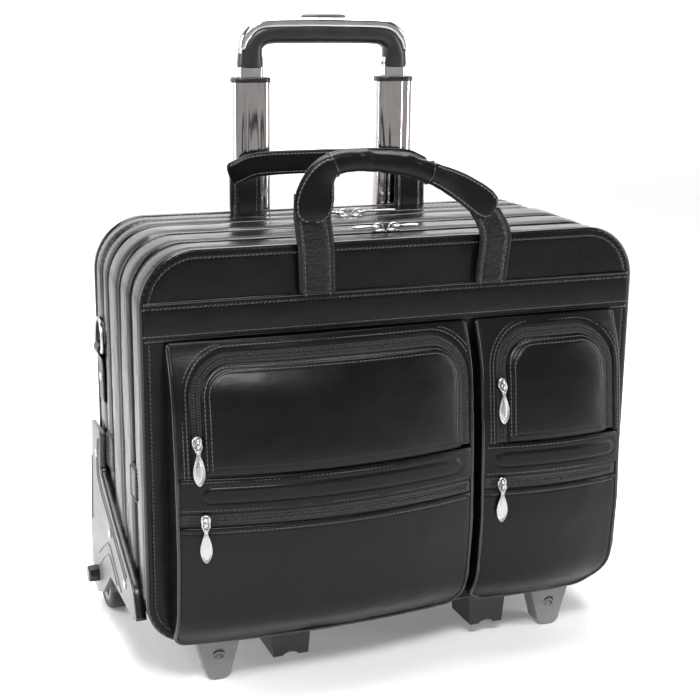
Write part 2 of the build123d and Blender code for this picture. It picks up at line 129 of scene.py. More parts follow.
def leather(name, base=0.0035, rough=(0.27, 0.33), grain=1.0, pebble=0.0, gloss=0.25):
    """Black finished leather: fine pores, faint creases, cloudy gloss and a slightly uneven tone."""
    mat, nodes, links, shader = new_material(name)
    coords = nodes.new("ShaderNodeTexCoord").outputs["Object"]
    cloud = noise_node(nodes, links, coords, 26.0, 4.0, 0.6)
    fine = noise_node(nodes, links, coords, 1500.0, 2.0, 0.6)
    cells = nodes.new("ShaderNodeTexVoronoi")
    cells.inputs["Scale"].default_value = 620.0 - 300.0 * pebble
    links.new(coords, cells.inputs["Vector"])
    tone = ramp(nodes, links, cloud.outputs["Fac"], 0.0, 1.0)
    low = (base * 0.85, base * 0.85, base * 0.88)
    high = (base * 1.3, base * 1.28, base * 1.3)
    links.new(colour_mix(nodes, links, tone, low, high), shader.inputs["Base Color"])
    links.new(ramp(nodes, links, cloud.outputs["Fac"], rough[0], rough[1]), shader.inputs["Roughness"])
    n1 = bump(nodes, links, cells.outputs["Distance"], 0.16 * grain + 0.5 * pebble, 0.00035 + 0.0004 * pebble)
    n2 = bump(nodes, links, fine.outputs["Fac"], 0.10 * grain, 0.0002, n1)
    soft = noise_node(nodes, links, coords, 45.0, 3.0, 0.5)
    n3 = bump(nodes, links, soft.outputs["Fac"], 0.10, 0.004, n2)
    links.new(n3, shader.inputs["Normal"])
    shader.inputs["Specular IOR Level"].default_value = gloss
    shader.inputs["Coat Weight"].default_value = 0.05
    shader.inputs["Coat Roughness"].default_value = 0.15
    return mat


def metal(name, colour, rough, brushed=0.0, stretch=(1, 1, 1)):
    mat, nodes, links, shader = new_material(name)
    tex = nodes.new("ShaderNodeTexCoord").outputs["Object"]
    mapping = nodes.new("ShaderNodeMapping")
    mapping.inputs["Scale"].default_value = stretch
    links.new(tex, mapping.inputs["Vector"])
    grain = noise_node(nodes, links, mapping.outputs["Vector"], 900.0, 3.0, 0.6)
    smear = noise_node(nodes, links, tex, 60.0, 4.0, 0.6)
    fac = ramp(nodes, links, smear.outputs["Fac"], 0.0, 1.0)
    low = tuple(c * 0.86 for c in colour)
    links.new(colour_mix(nodes, links, fac, low, colour), shader.inputs["Base Color"])
    links.new(ramp(nodes, links, smear.outputs["Fac"], rough * 0.8, rough * 1.5), shader.inputs["Roughness"])
    links.new(bump(nodes, links, grain.outputs["Fac"], 0.05 + brushed, 0.0001), shader.inputs["Normal"])
    shader.inputs["Metallic"].default_value = 1.0
    return mat


def plastic(name, colour, rough, texture=0.25, scale=1400.0):
    mat, nodes, links, shader = new_material(name)
    coords = nodes.new("ShaderNodeTexCoord").outputs["Object"]
    fine = noise_node(nodes, links, coords, scale, 2.0, 0.6)
    cloud = noise_node(nodes, links, coords, 30.0, 4.0, 0.6)
    fac = ramp(nodes, links, cloud.outputs["Fac"], 0.0, 1.0)
    low = tuple(c * 0.82 for c in colour)
    links.new(colour_mix(nodes, links, fac, low, colour), shader.inputs["Base Color"])
    links.new(ramp(nodes, links, cloud.outputs["Fac"], rough * 0.85, rough * 1.2), shader.inputs["Roughness"])
    links.new(bump(nodes, links, fine.outputs["Fac"], texture, 0.0002), shader.inputs["Normal"])
    return mat


def woven(name, colour, scale=1100.0):
    """Plain weave: two crossed sets of threads."""
    mat, nodes, links, shader = new_material(name)
    coords = nodes.new("ShaderNodeTexCoord").outputs["Object"]
    waves = []
    for direction in ("X", "Z"):
        w = nodes.new("ShaderNodeTexWave")
        w.bands_direction = direction
        w.inputs["Scale"].default_value = scale / 3
        w.inputs["Distortion"].default_value = 0.6
        links.new(coords, w.inputs["Vector"])
        waves.append(w.outputs["Fac"])
    both = nodes.new("ShaderNodeMath")
    both.operation = "MULTIPLY"
    links.new(waves[0], both.inputs[0])
    links.new(waves[1], both.inputs[1])
    cloud = noise_node(nodes, links, coords, 40.0)
    fac = ramp(nodes, links, cloud.outputs["Fac"], 0.0, 1.0)
    low = tuple(c * 0.6 for c in colour)
    links.new(colour_mix(nodes, links, fac, low, colour), shader.inputs["Base Color"])
    links.new(bump(nodes, links, both.outputs[0], 0.5, 0.0004), shader.inputs["Normal"])
    shader.inputs["Roughness"].default_value = 0.75
    shader.inputs["Sheen Weight"].default_value = 0.25
    return mat


MATS = {
    "leather": leather("leather_black", gloss=0.13),
    "pocket": leather("leather_pocket", 0.0035, (0.27, 0.33), 0.9, 0.0, 0.15),
    "side": leather("leather_side", 0.0035, (0.2, 0.27), 0.8, 0.0, 0.26),
    "pebbled": leather("leather_pebbled", 0.004, (0.3, 0.4), 1.0, 0.9, 0.22),
    "piping": leather("leather_piping", 0.004, (0.15, 0.22), 0.6, 0.0, 0.5),
    "thread": woven("thread_waxed", (0.075, 0.075, 0.08), 3000.0),
    "tape": woven("zipper_tape", (0.012, 0.012, 0.013), 2400.0),
    "teeth": plastic("zipper_coil", (0.02, 0.02, 0.02), 0.3, 0.1),
    "lining": woven("lining_cloth", (0.07, 0.07, 0.075), 1500.0),
    "nickel": metal("nickel", (0.47, 0.465, 0.455), 0.28),
    "tube": metal("tube_dark_nickel", (0.62, 0.585, 0.575), 0.09, -0.05, (1, 1, 0.05)),
    "chrome": metal("chrome", (0.62, 0.62, 0.63), 0.14),
    "steel": metal("steel", (0.55, 0.55, 0.56), 0.3, 0.1),
    "grey": plastic("housing_grey", (0.20, 0.20, 0.205), 0.42, 0.35, 1700.0),
    "housing": plastic("housing_grey_dark", (0.115, 0.115, 0.12), 0.38, 0.35, 1700.0),
    "black": plastic("plastic_black", (0.006, 0.006, 0.006), 0.28, 0.1),
    "button": plastic("button_grey", (0.06, 0.06, 0.062), 0.35, 0.1),
    "rubber": plastic("rubber_black", (0.008, 0.008, 0.008), 0.36, 0.3, 900.0),
    "tyre": plastic("tyre_black", (0.018, 0.018, 0.018), 0.6, 0.5, 700.0),
    "board": plastic("board", (0.03, 0.03, 0.03), 0.6, 0.4, 500.0),
}


# ------------------------------------------------------------------ mesh helpers
def make(name, points, faces, look, body=None, solid=0.0):
    """A mesh piece from points in (x, d, z) millimetres, riding on a body."""
    mesh = bpy.data.meshes.new(name)
    mesh.from_pydata([tuple(p) for p in place_all(points).reshape(-1, 3)], [], [tuple(f) for f in faces])
    bm = bmesh.new()
    bm.from_mesh(mesh)
    bmesh.ops.remove_doubles(bm, verts=bm.verts, dist=1e-6)
    bmesh.ops.recalc_face_normals(bm, faces=bm.faces)
    bm.to_mesh(mesh)
    bm.free()
    mesh.polygons.foreach_set("use_smooth", [True] * len(mesh.polygons))
    obj = bpy.data.objects.new(name, mesh)
    bpy.context.scene.collection.objects.link(obj)
    mesh.materials.append(MATS[look])
    if solid:
        m = obj.modifiers.new("thickness", "SOLIDIFY")
        m.thickness = solid * MM
        m.offset = 0.0
    if body:
        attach(obj, body)
    return obj


def grid_faces(rows, cols, wrap_rows=False, wrap_cols=False):
    faces = []
    for i in range(rows if wrap_rows else rows - 1):
        for j in range(cols if wrap_cols else cols - 1):
            a = i * cols + j
            b = i * cols + (j + 1) % cols
            c = ((i + 1) % rows) * cols + (j + 1) % cols
            d = ((i + 1) % rows) * cols + j
            faces.append((a, b, c, d))
    return faces


def circle(count):
    """Angles evenly spaced round a full turn."""
    return np.linspace(0, 2 * math.pi, count, endpoint=False)


def shell(name, rows, look, body, solid=0.0):
    """An open skin over rows of points."""
    return make(name, np.array(rows).reshape(-1, 3), grid_faces(len(rows), len(rows[0])), look, body, solid)


def ringed(name, rows, look, body, solid=0.0):
    """A skin over rings of points, open at its first and last ring."""
    return make(name, np.array(rows).reshape(-1, 3), grid_faces(len(rows), len(rows[0]), False, True), look,
                body, solid)


def capped(rows, first, last):
    """Points and faces of a closed skin over rings, with one point that closes each end."""
    count = len(rows[0])
    pts = np.vstack([np.array(rows).reshape(-1, 3), first, last])
    faces = grid_faces(len(rows), count, False, True)
    top = (len(rows) - 1) * count
    for k in range(count):
        faces.append((len(pts) - 2, k, (k + 1) % count))
        faces.append((len(pts) - 1, top + k, top + (k + 1) % count))
    return pts, faces


def smooth_path(points, per=8):
    """A Catmull-Rom curve through the points."""
    p = np.asarray(points, float)
    out = []
    last = len(p) - 1
    for i in range(last):
        a, b, c, d = p[max(i - 1, 0)], p[i], p[i + 1], p[min(i + 2, last)]
        for t in np.linspace(0, 1, per, endpoint=False):
            out.append(0.5 * (2 * b + (c - a) * t + (2 * a - 5 * b + 4 * c - d) * t * t
                              + (3 * b - a - 3 * c + d) * t ** 3))
    out.append(p[-1])
    return np.array(out)


def resample(points, step, closed=False):
    """Points evenly spaced along a path, with unit tangents."""
    p = np.asarray(points, float)
    if closed:
        p = np.vstack([p, p[:1]])
    seg = np.linalg.norm(np.diff(p, axis=0), axis=1)
    s = np.concatenate([[0], np.cumsum(seg)])
    count = max(2, int(round(s[-1] / step)))
    marks = np.linspace(0, s[-1], count, endpoint=not closed)
    q = np.stack([np.interp(marks, s, p[:, k]) for k in range(3)], 1)
    eps = step * 0.25
    ahead = np.stack([np.interp(np.minimum(marks + eps, s[-1]), s, p[:, k]) for k in range(3)], 1)
    behind = np.stack([np.interp(np.maximum(marks - eps, 0), s, p[:, k]) for k in range(3)], 1)
    t = ahead - behind
    t /= np.maximum(np.linalg.norm(t, axis=1, keepdims=True), 1e-9)
    return q, t


def from_ends(count):
    """How far each point of a path is from its nearer end, as a share of the whole."""
    along = np.linspace(0, 1, count)
    return np.minimum(along, 1 - along)


def unit(v):
    v = np.asarray(v, float)
    return v / max(np.linalg.norm(v), 1e-9)


def tube(name, points, radius, look, body, closed=False, sides=12, step=4.0, wobble=0.0):
    """A round tube along a path in (x, d, z), with domed ends if it is open."""
    q, t = resample(points, step, closed)
    around = circle(sides)
    rings = []
    for i in range(len(q)):
        side = np.cross(t[i], (0.0, 1.0, 0.0))
        if np.linalg.norm(side) < 0.2:
            side = np.cross(t[i], (1.0, 0.0, 0.0))
        side = unit(side)
        up = np.cross(side, t[i])
        r = radius + wobble * noise.noise(Vector(q[i] * 0.08))
        rings.append(q[i] + r * (np.cos(around)[:, None] * side + np.sin(around)[:, None] * up))
    if closed:
        return make(name, np.array(rings).reshape(-1, 3), grid_faces(len(q), sides, True, True), look, body)
    dome = radius * 0.5
    pts, faces = capped(rings, q[0] - t[0] * dome, q[-1] + t[-1] * dome)
    return make(name, pts, faces, look, body)


def loft(name, path, widths, thicks, look, body, sides, power):
    """A strap or grip: a rounded oval section along a path, its thickness lying in depth."""
    path = np.asarray(path, float)
    t = np.gradient(path, axis=0)
    ca, sa = (np.sign(v) * np.abs(v) ** (2 / power) for v in (np.cos(circle(sides)), np.sin(circle(sides))))
    rings = []
    for i, p in enumerate(path):
        tangent = unit(t[i])
        wide = unit(np.cross(tangent, (0, 1, 0)))
        thick = unit(np.cross(wide, tangent))
        rings.append(p + widths[i] * ca[:, None] * wide + thicks[i] * sa[:, None] * thick)
    pts, faces = capped(rings, path[0], path[-1])
    return make(name, pts, faces, look, body)


def beads(name, centres, tangents, normals, size, look, body):
    """Many small rounded blocks along a path, as one mesh: stitches or zipper teeth.
    size is (along, across, high)."""
    shape = np.array([
        (-0.5, -0.35, -0.5), (-0.5, 0.35, -0.5), (0.5, 0.35, -0.5), (0.5, -0.35, -0.5),
        (-0.5, -0.35, 0.25), (-0.5, 0.35, 0.25), (0.5, 0.35, 0.25), (0.5, -0.35, 0.25),
        (-0.32, -0.5, -0.2), (-0.32, 0.5, -0.2), (0.32, 0.5, -0.2), (0.32, -0.5, -0.2),
        (-0.30, -0.22, 0.5), (-0.30, 0.22, 0.5), (0.30, 0.22, 0.5), (0.30, -0.22, 0.5),
    ])
    box_faces = [(0, 1, 2, 3), (0, 8, 9, 1), (2, 10, 11, 3), (0, 3, 11, 8), (1, 9, 10, 2),
                 (8, 4, 5, 9), (10, 6, 7, 11), (8, 11, 7, 4), (9, 5, 6, 10),
                 (4, 12, 13, 5), (6, 14, 15, 7), (4, 7, 15, 12), (5, 13, 14, 6), (12, 15, 14, 13)]
    pts = []
    faces = []
    for c, t, n in zip(centres, tangents, normals):
        t = unit(t)
        n = unit(n - np.dot(n, t) * t)
        b = np.cross(n, t)
        local = shape * np.array(size)
        base = len(pts)
        pts.extend(c + local[:, :1] * t + local[:, 1:2] * b + local[:, 2:] * n)
        faces.extend(tuple(base + k for k in f) for f in box_faces)
    return make(name, np.array(pts), faces, look, body)


STITCH = (2.8, 1.0, 0.9)
STITCH_PITCH = 3.6


def stitches(name, path, normals, body, closed=False, lift=0.15, slant=0.0, pitch=STITCH_PITCH):
    """A row of stitches on a path; normals has one outward direction for each path point."""
    q, t = resample(path, pitch, closed)
    p = np.asarray(path, float)
    nrm = np.asarray(normals, float)
    if nrm.ndim == 1:
        nrm = np.tile(nrm, (len(p), 1))
    tree = [int(np.argmin(np.sum((p - c) ** 2, 1))) for c in q]
    n = nrm[tree]
    if slant:
        t = np.array([unit(a + slant * np.cross(b, a)) for a, b in zip(t, n)])
    return beads(name, q + n * lift, t, n, STITCH, "thread", body)


# ------------------------------------------------------------------ the case's outline
STEP = 2.6


def outline(inset, z_from=None):
    """Points (x, z) and outward normals round the case's front outline, from its bottom middle up the
    right side, over the top and down the left, point for point the same at every inset. With z_from it is
    open: only what is above that height."""
    low, high, half = Z_LOW + inset, Z_HIGH - inset, HALF - inset
    rt = max(R_TOP - inset, 3.0)
    rl = max(R_LOW - inset, 3.0)
    pts = []

    def arc(cx, cz, r, a0, a1, base):
        count = int(base * math.pi / 2 / STEP)
        for a in np.linspace(a0, a1, count):
            n = (math.cos(math.radians(a)), math.sin(math.radians(a)))
            pts.append((cx + r * n[0], cz + r * n[1], n[0], n[1]))

    def line(x0, z0, x1, z1, nx, nz, base):
        count = int(base / STEP)
        for k in range(1, count):
            t = k / count
            pts.append((x0 + (x1 - x0) * t, z0 + (z1 - z0) * t, nx, nz))

    side = Z_HIGH - Z_LOW - R_TOP - R_LOW
    pts.append((0, low, 0, -1))
    line(0, low, half - rl, low, 0, -1, HALF - R_LOW)
    arc(half - rl, low + rl, rl, -90, 0, R_LOW)
    line(half, low + rl, half, high - rt, 1, 0, side)
    arc(half - rt, high - rt, rt, 0, 90, R_TOP)
    line(half - rt, high, -half + rt, high, 0, 1, 2 * (HALF - R_TOP))
    arc(-half + rt, high - rt, rt, 90, 180, R_TOP)
    line(-half, high - rt, -half, low + rl, -1, 0, side)
    arc(-half + rl, low + rl, rl, 180, 270, R_LOW)
    line(-half + rl, low, 0, low, 0, -1, HALF - R_LOW)
    p = np.array(pts)
    if z_from is not None:
        keep = p[p[:, 1] > z_from]
        first = (half, z_from, 1, 0)
        last = (-half, z_from, -1, 0)
        p = np.vstack([first, keep, last])
    return p[:, :2], p[:, 2:]


def ripple(x, d, z, amount, fine=0.35):
    """The slow unevenness of sewn leather."""
    slow = noise.noise(Vector((x * 0.012, d * 0.05, z * 0.012)))
    quick = noise.noise(Vector((x * 0.05 + 9, d * 0.13, z * 0.05)))
    return amount * (slow + fine * quick)


def below_outline(inset, z_to):
    """The open lower part of the outline, from the left side under the case to the right."""
    p, n = outline(inset)
    half = HALF - inset
    middle = len(p) // 2
    left = [(x, z, a, b) for (x, z), (a, b) in zip(p[middle:], n[middle:]) if z < z_to and x < 0]
    right = [(x, z, a, b) for (x, z), (a, b) in zip(p[:middle], n[:middle]) if z < z_to]
    rows = [(-half, z_to, -1, 0)] + left + right + [(half, z_to, 1, 0)]
    q = np.array(rows)
    return q[:, :2], q[:, 2:]


def ring_path(inset, d, z_from=None):
    p, n = outline(inset, z_from)
    path = np.stack([p[:, 0], np.full(len(p), d), p[:, 1]], 1)
    normals = np.stack([n[:, 0], np.zeros(len(n)), n[:, 1]], 1)
    return path, normals


SEAM = 3.6


def roll_height(e, puff, seam):
    """Height of a padded strip at a distance e from its nearer sewn edge."""
    height = puff * (1 - math.exp(-e / 3.5)) - 0.9 * math.exp(-e / 0.8)
    if seam:
        height -= 0.55 * math.exp(-((e - SEAM) / 0.8) ** 2)
    return height


def strip(name, d0, d1, z_from, look, body, inset=2.0, puff=1.2, pucker=0.2, seam=True, path=None, skip=None,
          sewn=None, wave=0.7, sew_from=0.0):
    """A leather strip round the case: a soft roll between two sewn edges, gathered by its stitches."""
    p, n = path if path is not None else outline(inset, z_from)
    closed = path is None and z_from is None
    width = d1 - d0
    across = max(9, int(width / 1.3))
    lengths = np.concatenate([[0], np.cumsum(np.linalg.norm(np.diff(p, axis=0), axis=1))])
    levels = np.linspace(0, width, across)

    def lift(i, w):
        e = min(w, width - w)
        (x, z), (a, b) = p[i], n[i]
        corner = 2 * abs(a * b)
        wave_length = 2 * math.pi * (lengths[i] + 0.5 * e) / 5.2
        gather = pucker * (0.6 + 2.2 * corner) * math.sin(wave_length
                                                          + 2 * noise.noise(Vector((x, w, z)) * 0.03))
        height = roll_height(e, puff, seam) + gather * math.exp(-((e - SEAM) / 3.0) ** 2)
        return height + ripple(x, d0 + w, z, wave) * min(1.0, e / 4)

    rows = []
    for w in levels:
        row = []
        for i in range(len(p)):
            h = lift(i, w)
            row.append((p[i][0] + n[i][0] * h, d0 + w, p[i][1] + n[i][1] * h))
        rows.append(row)
    pts = np.array(rows).reshape(-1, 3)
    faces = grid_faces(across, len(p), False, closed)
    if skip:
        faces = [f for f in faces if not skip(*np.mean(pts[list(f)], 0))]
    obj = make(name, pts, faces, look, body, solid=1.4)
    for k in (0, 1) if sewn is None else sewn:
        w = SEAM if k == 0 else width - SEAM
        line = np.array([(p[i][0] + n[i][0] * (lift(i, w) + 0.3), d0 + w, p[i][1] + n[i][1] * (lift(i, w)
                                                                                               + 0.3))
                         for i in range(len(p))])
        out = np.stack([n[:, 0], np.zeros(len(n)), n[:, 1]], 1)
        if skip or sew_from:
            keep = np.array([not (skip and skip(*q)) and q[2] > sew_from for q in line])
            start = int(np.argmin(keep)) if not keep.all() else 0
            order = np.roll(np.arange(len(line)), -start)
            order = [j for j in order if keep[j]]
            runs = [[order[0]]]
            for j in order[1:]:
                if np.linalg.norm(line[j] - line[runs[-1][-1]]) > 12:
                    runs.append([])
                runs[-1].append(j)
            for r, run in enumerate(runs):
                stitches(f"{name}_stitches_{k}{r}", line[run], out[run], body)
        else:
            stitches(f"{name}_stitches_{k}", line, out, body, closed)
    return obj


# ------------------------------------------------------------------ panels
PANEL_INSETS = (0.4, 1.2, 2.0, 2.9, 3.8, 4.7, 5.6, 6.4, 7.2, 8.0, 9.0, 10.5, 12.5, 15, 18, 22, 27, 33, 40)
PANEL_SEAM = 6.8
BASE_P, BASE_N = outline(0.0)
BASE_S = np.concatenate([[0], np.cumsum(np.linalg.norm(np.diff(BASE_P, axis=0), axis=1))])


def panel_height(i, inset, x, z, puff, gather):
    corner = 2 * abs(BASE_N[i][0] * BASE_N[i][1])
    phase = 2 * math.pi * (BASE_S[i] + 0.7 * inset) / 5.0 + 2 * noise.noise(Vector((x, 3.0, z)) * 0.03)
    pull = gather * (0.25 + corner) * math.sin(phase) * math.exp(-((inset - 4.6) / 3.0) ** 2)
    height = puff * (1 - math.exp(-inset / 7)) - 1.5 * math.exp(-inset / 1.2)
    height -= 0.5 * math.exp(-((inset - PANEL_SEAM) / 0.8) ** 2)
    return height + pull + ripple(x, 0, z, 0.9, 0.25) * min(1.0, inset / 10)


def panel_face(name, body, plane, side, look, puff=1.0, gather=0.5, skip=None):
    """One face of a sewn panel; side is the way it faces in depth."""
    rows = []
    for inset in PANEL_INSETS:
        p, _ = outline(inset)
        rows.append([(x, plane + side * panel_height(i, inset, x, z, puff, gather), z) for i,
                     (x, z) in enumerate(p)])
    edge = np.array(rows[-1])
    middle_z = (Z_LOW + Z_HIGH) / 2
    for t in (0.12, 0.25, 0.4, 0.55, 0.7, 0.85, 1.0):
        heart_x = np.round(np.clip(edge[:, 0], -HALF + 150, HALF - 150) / 5) * 5
        heart = np.stack([heart_x, edge[:, 1], np.full(len(edge), middle_z)], 1)
        q = edge * (1 - t) + heart * t
        q[:, 1] = [plane + side * (puff + ripple(x, 0, z, 0.9, 0.25)) for x, _, z in q]
        rows.append(q)
    pts = np.concatenate([np.array(r, float) for r in rows])
    faces = grid_faces(len(rows), len(edge), False, True)
    if skip:
        faces = [f for f in faces if not skip(*np.mean(pts[list(f)], 0))]
    obj = make(name, pts, faces, look, body, solid=1.2)
    p, _ = outline(PANEL_SEAM)
    line = [(x, plane + side * (panel_height(i, PANEL_SEAM, x, z, puff, gather) + 0.5), z)
            for i, (x, z) in enumerate(p)]
    line = np.array([q for q in line if not (skip and skip(*q))])
    if skip:
        gap = np.linalg.norm(np.diff(line, axis=0), axis=1)
        cuts = [0] + [int(k) + 1 for k in np.where(gap > 12)[0]] + [len(line)]
        for r in range(len(cuts) - 1):
            if cuts[r + 1] - cuts[r] > 3:
                stitches(f"{name}_stitches_{r}", line[cuts[r]:cuts[r + 1]], (0, side, 0), body, slant=0.35)
    else:
        stitches(name + "_stitches", line, (0, side, 0), body, True, slant=0.35)
    return obj


def lining_sheet(name, body, d, inset, look="lining", thick=1.0, skip=None):
    """A flat cloth-covered board across the case."""
    rows = []
    for k in (0, 1, 3, 8, 20, 40):
        p, _ = outline(inset + k)
        rows.append([(x, d + ripple(x, d, z, 0.4), z) for x, z in p])
    edge = np.array(rows[-1])
    for t in (0.2, 0.4, 0.6, 0.8, 1.0):
        heart_x = np.round(np.clip(edge[:, 0], -70, 70) / 5) * 5
        heart = np.stack([heart_x, edge[:, 1], np.full(len(edge), 210.0)], 1)
        rows.append(edge * (1 - t) + heart * t)
    pts = np.concatenate([np.array(r, float) for r in rows])
    faces = grid_faces(len(rows), len(edge), False, True)
    if skip:
        faces = [f for f in faces if not skip(*np.mean(pts[list(f)], 0))]
    return make(name, pts, faces, look, body, solid=thick)


SIDE_LOW = 82.0
WELL_X, WELL_D, WELL_Z = 196.0, 143.0, 79.5
TAPE_END = 190.0


def in_well(x, d, z):
    return abs(x) > WELL_X and d > WELL_D and z < WELL_Z


D_BACK = 182.0
front = panel_face("front_leather", "front_section", 0.0, -1, "leather", 0.8, 0.95)
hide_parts("front_panel")
lining_sheet("front_lining", "front_section", 3.6, 3.0)
back = panel_face("back_leather", "rear_case", D_BACK, 1, "leather", 0.5, 0.4, in_well)
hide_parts("back_panel")
lining_sheet("back_lining", "rear_case", 178.6, 3.0, "lining", 1.0, in_well)
divider = lining_sheet("divider_board", "middle_section", 78.0, 3.6, "lining", 1.6,
                       lambda x, d, z: z < SIDE_LOW + 1)
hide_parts("section_divider")

front_strip = strip("front_gusset_leather", 4.4, 32.8, SIDE_LOW, "side", "front_section", puff=1.4,
                    pucker=0.3)
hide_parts("front_gusset")
mid_front = strip("middle_front_leather", 41.3, 77.0, SIDE_LOW, "side", "middle_section", puff=1.7,
                  pucker=0.22,
                  sew_from=98.0)
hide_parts("middle_front_gusset")
mid_rear = strip("middle_rear_leather", 79.4, 118.8, SIDE_LOW, "side", "middle_section", puff=2.8,
                 pucker=0.08,
                 sewn=())
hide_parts("middle_rear_gusset")
rear_inner = strip("rear_gusset_inner", 127.4, 149.4, None, "side", "rear_case", puff=1.3, pucker=0.22,
                   skip=in_well)
strip("rear_gusset_outer", 150.2, 178.2, None, "side", "rear_case", puff=1.4, pucker=0.6, skip=in_well)
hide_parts("rear_gusset")
under = strip("bottom_leather", 5.4, 126.8, None, "leather", "rear_case", puff=0.6, pucker=0.10,
              path=below_outline(2.0, SIDE_LOW - 0.8))
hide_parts("bottom_gusset")
for name, body, d0, d1, z_from in (("front", "front_section", 4.5, 36.6, SIDE_LOW),
                                   ("middle", "middle_section", 37.6, 122.4, SIDE_LOW),
                                   ("rear", "rear_case", 123.6, 177.8, WELL_Z + 1.0)):
    strip(name + "_side_lining", d0, d1, z_from, "lining", body, inset=5.4, puff=0.0, pucker=0.0, seam=False,
          sewn=())
strip("floor_lining", 6.0, 142.0, None, "lining", "rear_case", puff=0.0, pucker=0.0, seam=False, sewn=(),
      path=below_outline(4.6, SIDE_LOW - 1.5))

# Pipings
PIPE_R = 2.1
front_pipe = tube("front_piping_cord", ring_path(1.6, 1.6)[0], PIPE_R, "piping", "front_section", True, 10,
                  2.6)
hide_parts("front_piping")
tube("middle_piping_cord", ring_path(1.2, 78.2, SIDE_LOW + 1)[0], 1.9, "piping", "middle_section", False, 10,
     2.6)
rear_path = ring_path(1.6, 180.4, WELL_Z + 1)[0]
rear_pipe = tube("rear_piping_cord", rear_path, PIPE_R, "piping", "rear_case", False, 10, 2.6)
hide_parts("rear_piping")
tube("rear_piping_low", [(-WELL_X + 3, 180.4, Z_LOW + 1.6), (WELL_X - 3, 180.4, Z_LOW + 1.6)], PIPE_R,
     "piping",
     "rear_case", False, 10, 4)

# Long zippers: cloth tape and coil on each side of the split, and soft gores below them
ZIPPERS = (
    ("file", 33.0, 37.0, 41.0, "front_section", "middle_section"),
    ("laptop", 119.0, 123.0, 127.0, "middle_section", "rear_case"),
)
for name, d0, split, d1, ahead, behind in ZIPPERS:
    for body, a, b, side in ((ahead, d0, split - 0.15, -1), (behind, split + 0.15, d1, 1)):
        strip(f"{name}_tape_{'front' if side < 0 else 'rear'}", a, b, TAPE_END - 14, "tape", body, inset=3.6,
              puff=0.0,
              pucker=0.0, seam=False, sewn=(), wave=0.2)
        path, out = ring_path(2.9, split, TAPE_END - 12)
        q, t = resample(path, 2.2)
        pick = [int(np.argmin(np.sum((path - c) ** 2, 1))) for c in q]
        shift = np.array([0, side * 1.25, 0])
        stagger = t * (0.55 * side)
        beads(f"{name}_coil_{'front' if side < 0 else 'rear'}", q + shift + stagger, [shift] * len(q),
              out[pick],
              (2.5, 1.5, 1.7), "teeth", body)
    for side in (-1, 1):
        rows = []
        for k, d in enumerate(np.linspace(d0 - 1.5, d1 + 1.5, 11)):
            fold = 2.2 * math.cos(k / 10 * 2 * math.pi) - 1.5
            rows.append([(side * (HALF - 2.6 + fold + ripple(side, d * 3, z, 0.6)), d, z)
                         for z in np.linspace(SIDE_LOW + 1, TAPE_END - 4, 40)])
        gore = shell(f"{name}_gore_{WORD[side]}", rows, "leather", None, solid=1.0)
        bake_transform(gore)


def tab(name, body, side, d, z, r=4.0):
    """A sewn leather tab on a side of the case."""
    cd, cz = (d[0] + d[1]) / 2, (z[0] + z[1]) / 2
    hd, hz = (d[1] - d[0]) / 2, (z[1] - z[0]) / 2
    rows = []
    insets = (0, 0.3, 0.9, 1.8, 2.6, 3.4, 5, 7, 9, 11)
    for inset in insets:
        ring = []
        for cx, cy, a0 in ((1, 1, 0), (-1, 1, 90), (-1, -1, 180), (1, -1, 270)):
            rr = max(r - inset, 0.5)
            for a in np.linspace(a0, a0 + 90, 8):
                y = cx * (max(hd - inset, 0.6) - rr) + rr * math.cos(math.radians(a))
                u = cy * (max(hz - inset, 0.6) - rr) + rr * math.sin(math.radians(a))
                lift = 2.2 * min(1.0, (inset / 0.9) ** 0.5) + 0.5 * min(1.0, inset / 6)
                lift -= 0.5 * math.exp(-((inset - 2.6) / 0.6) ** 2)
                ring.append((side * (HALF - 1.4 + lift + ripple(side, y * 3, u * 3, 0.25)), cd + y, cz + u))
        rows.append(ring)
    count = len(rows[0])
    pts = np.array(rows).reshape(-1, 3)
    faces = grid_faces(len(rows), count, False, True)
    pts = np.vstack([pts, np.mean(rows[-1], 0)])
    last = (len(rows) - 1) * count
    faces += [(last + k, last + (k + 1) % count, len(pts) - 1) for k in range(count)]
    make(name, pts, faces, "leather", body)
    line = np.array(rows[4]) + (side * 0.5, 0, 0)
    stitches(name + "_stitches", line, (side, 0, 0), body, True)


for side, word in WORD.items():
    tab(f"laptop_tab_{word}", "rear_case", side, (117.5, 147.0), (156.0, 190.0))
    tab(f"file_tab_{word}", "middle_section", side, (25.0, 48.0), (161.0, 193.0))

# ------------------------------------------------------------------ front band
BAND = (305.5, 335.5)


def band_depth(x, z):
    t = (z - BAND[0]) / (BAND[1] - BAND[0])
    edge = min(z - BAND[0], BAND[1] - z)
    height = 2.0 + 1.0 * math.sin(math.pi * t) ** 0.7 - 0.5 * math.exp(-((edge - 4.0) / 0.8) ** 2)
    corner = max(0.0, (abs(x) - 195) / 25)
    gather = (0.28 + 0.4 * corner) * math.sin(2 * math.pi * (x + (z - 320) * 0.8) / 5.4)
    height += gather * math.exp(-((BAND[1] - 3.0 - z) / 3.2) ** 2)
    height += ripple(x, 40, z * 2, 0.5)
    return -height


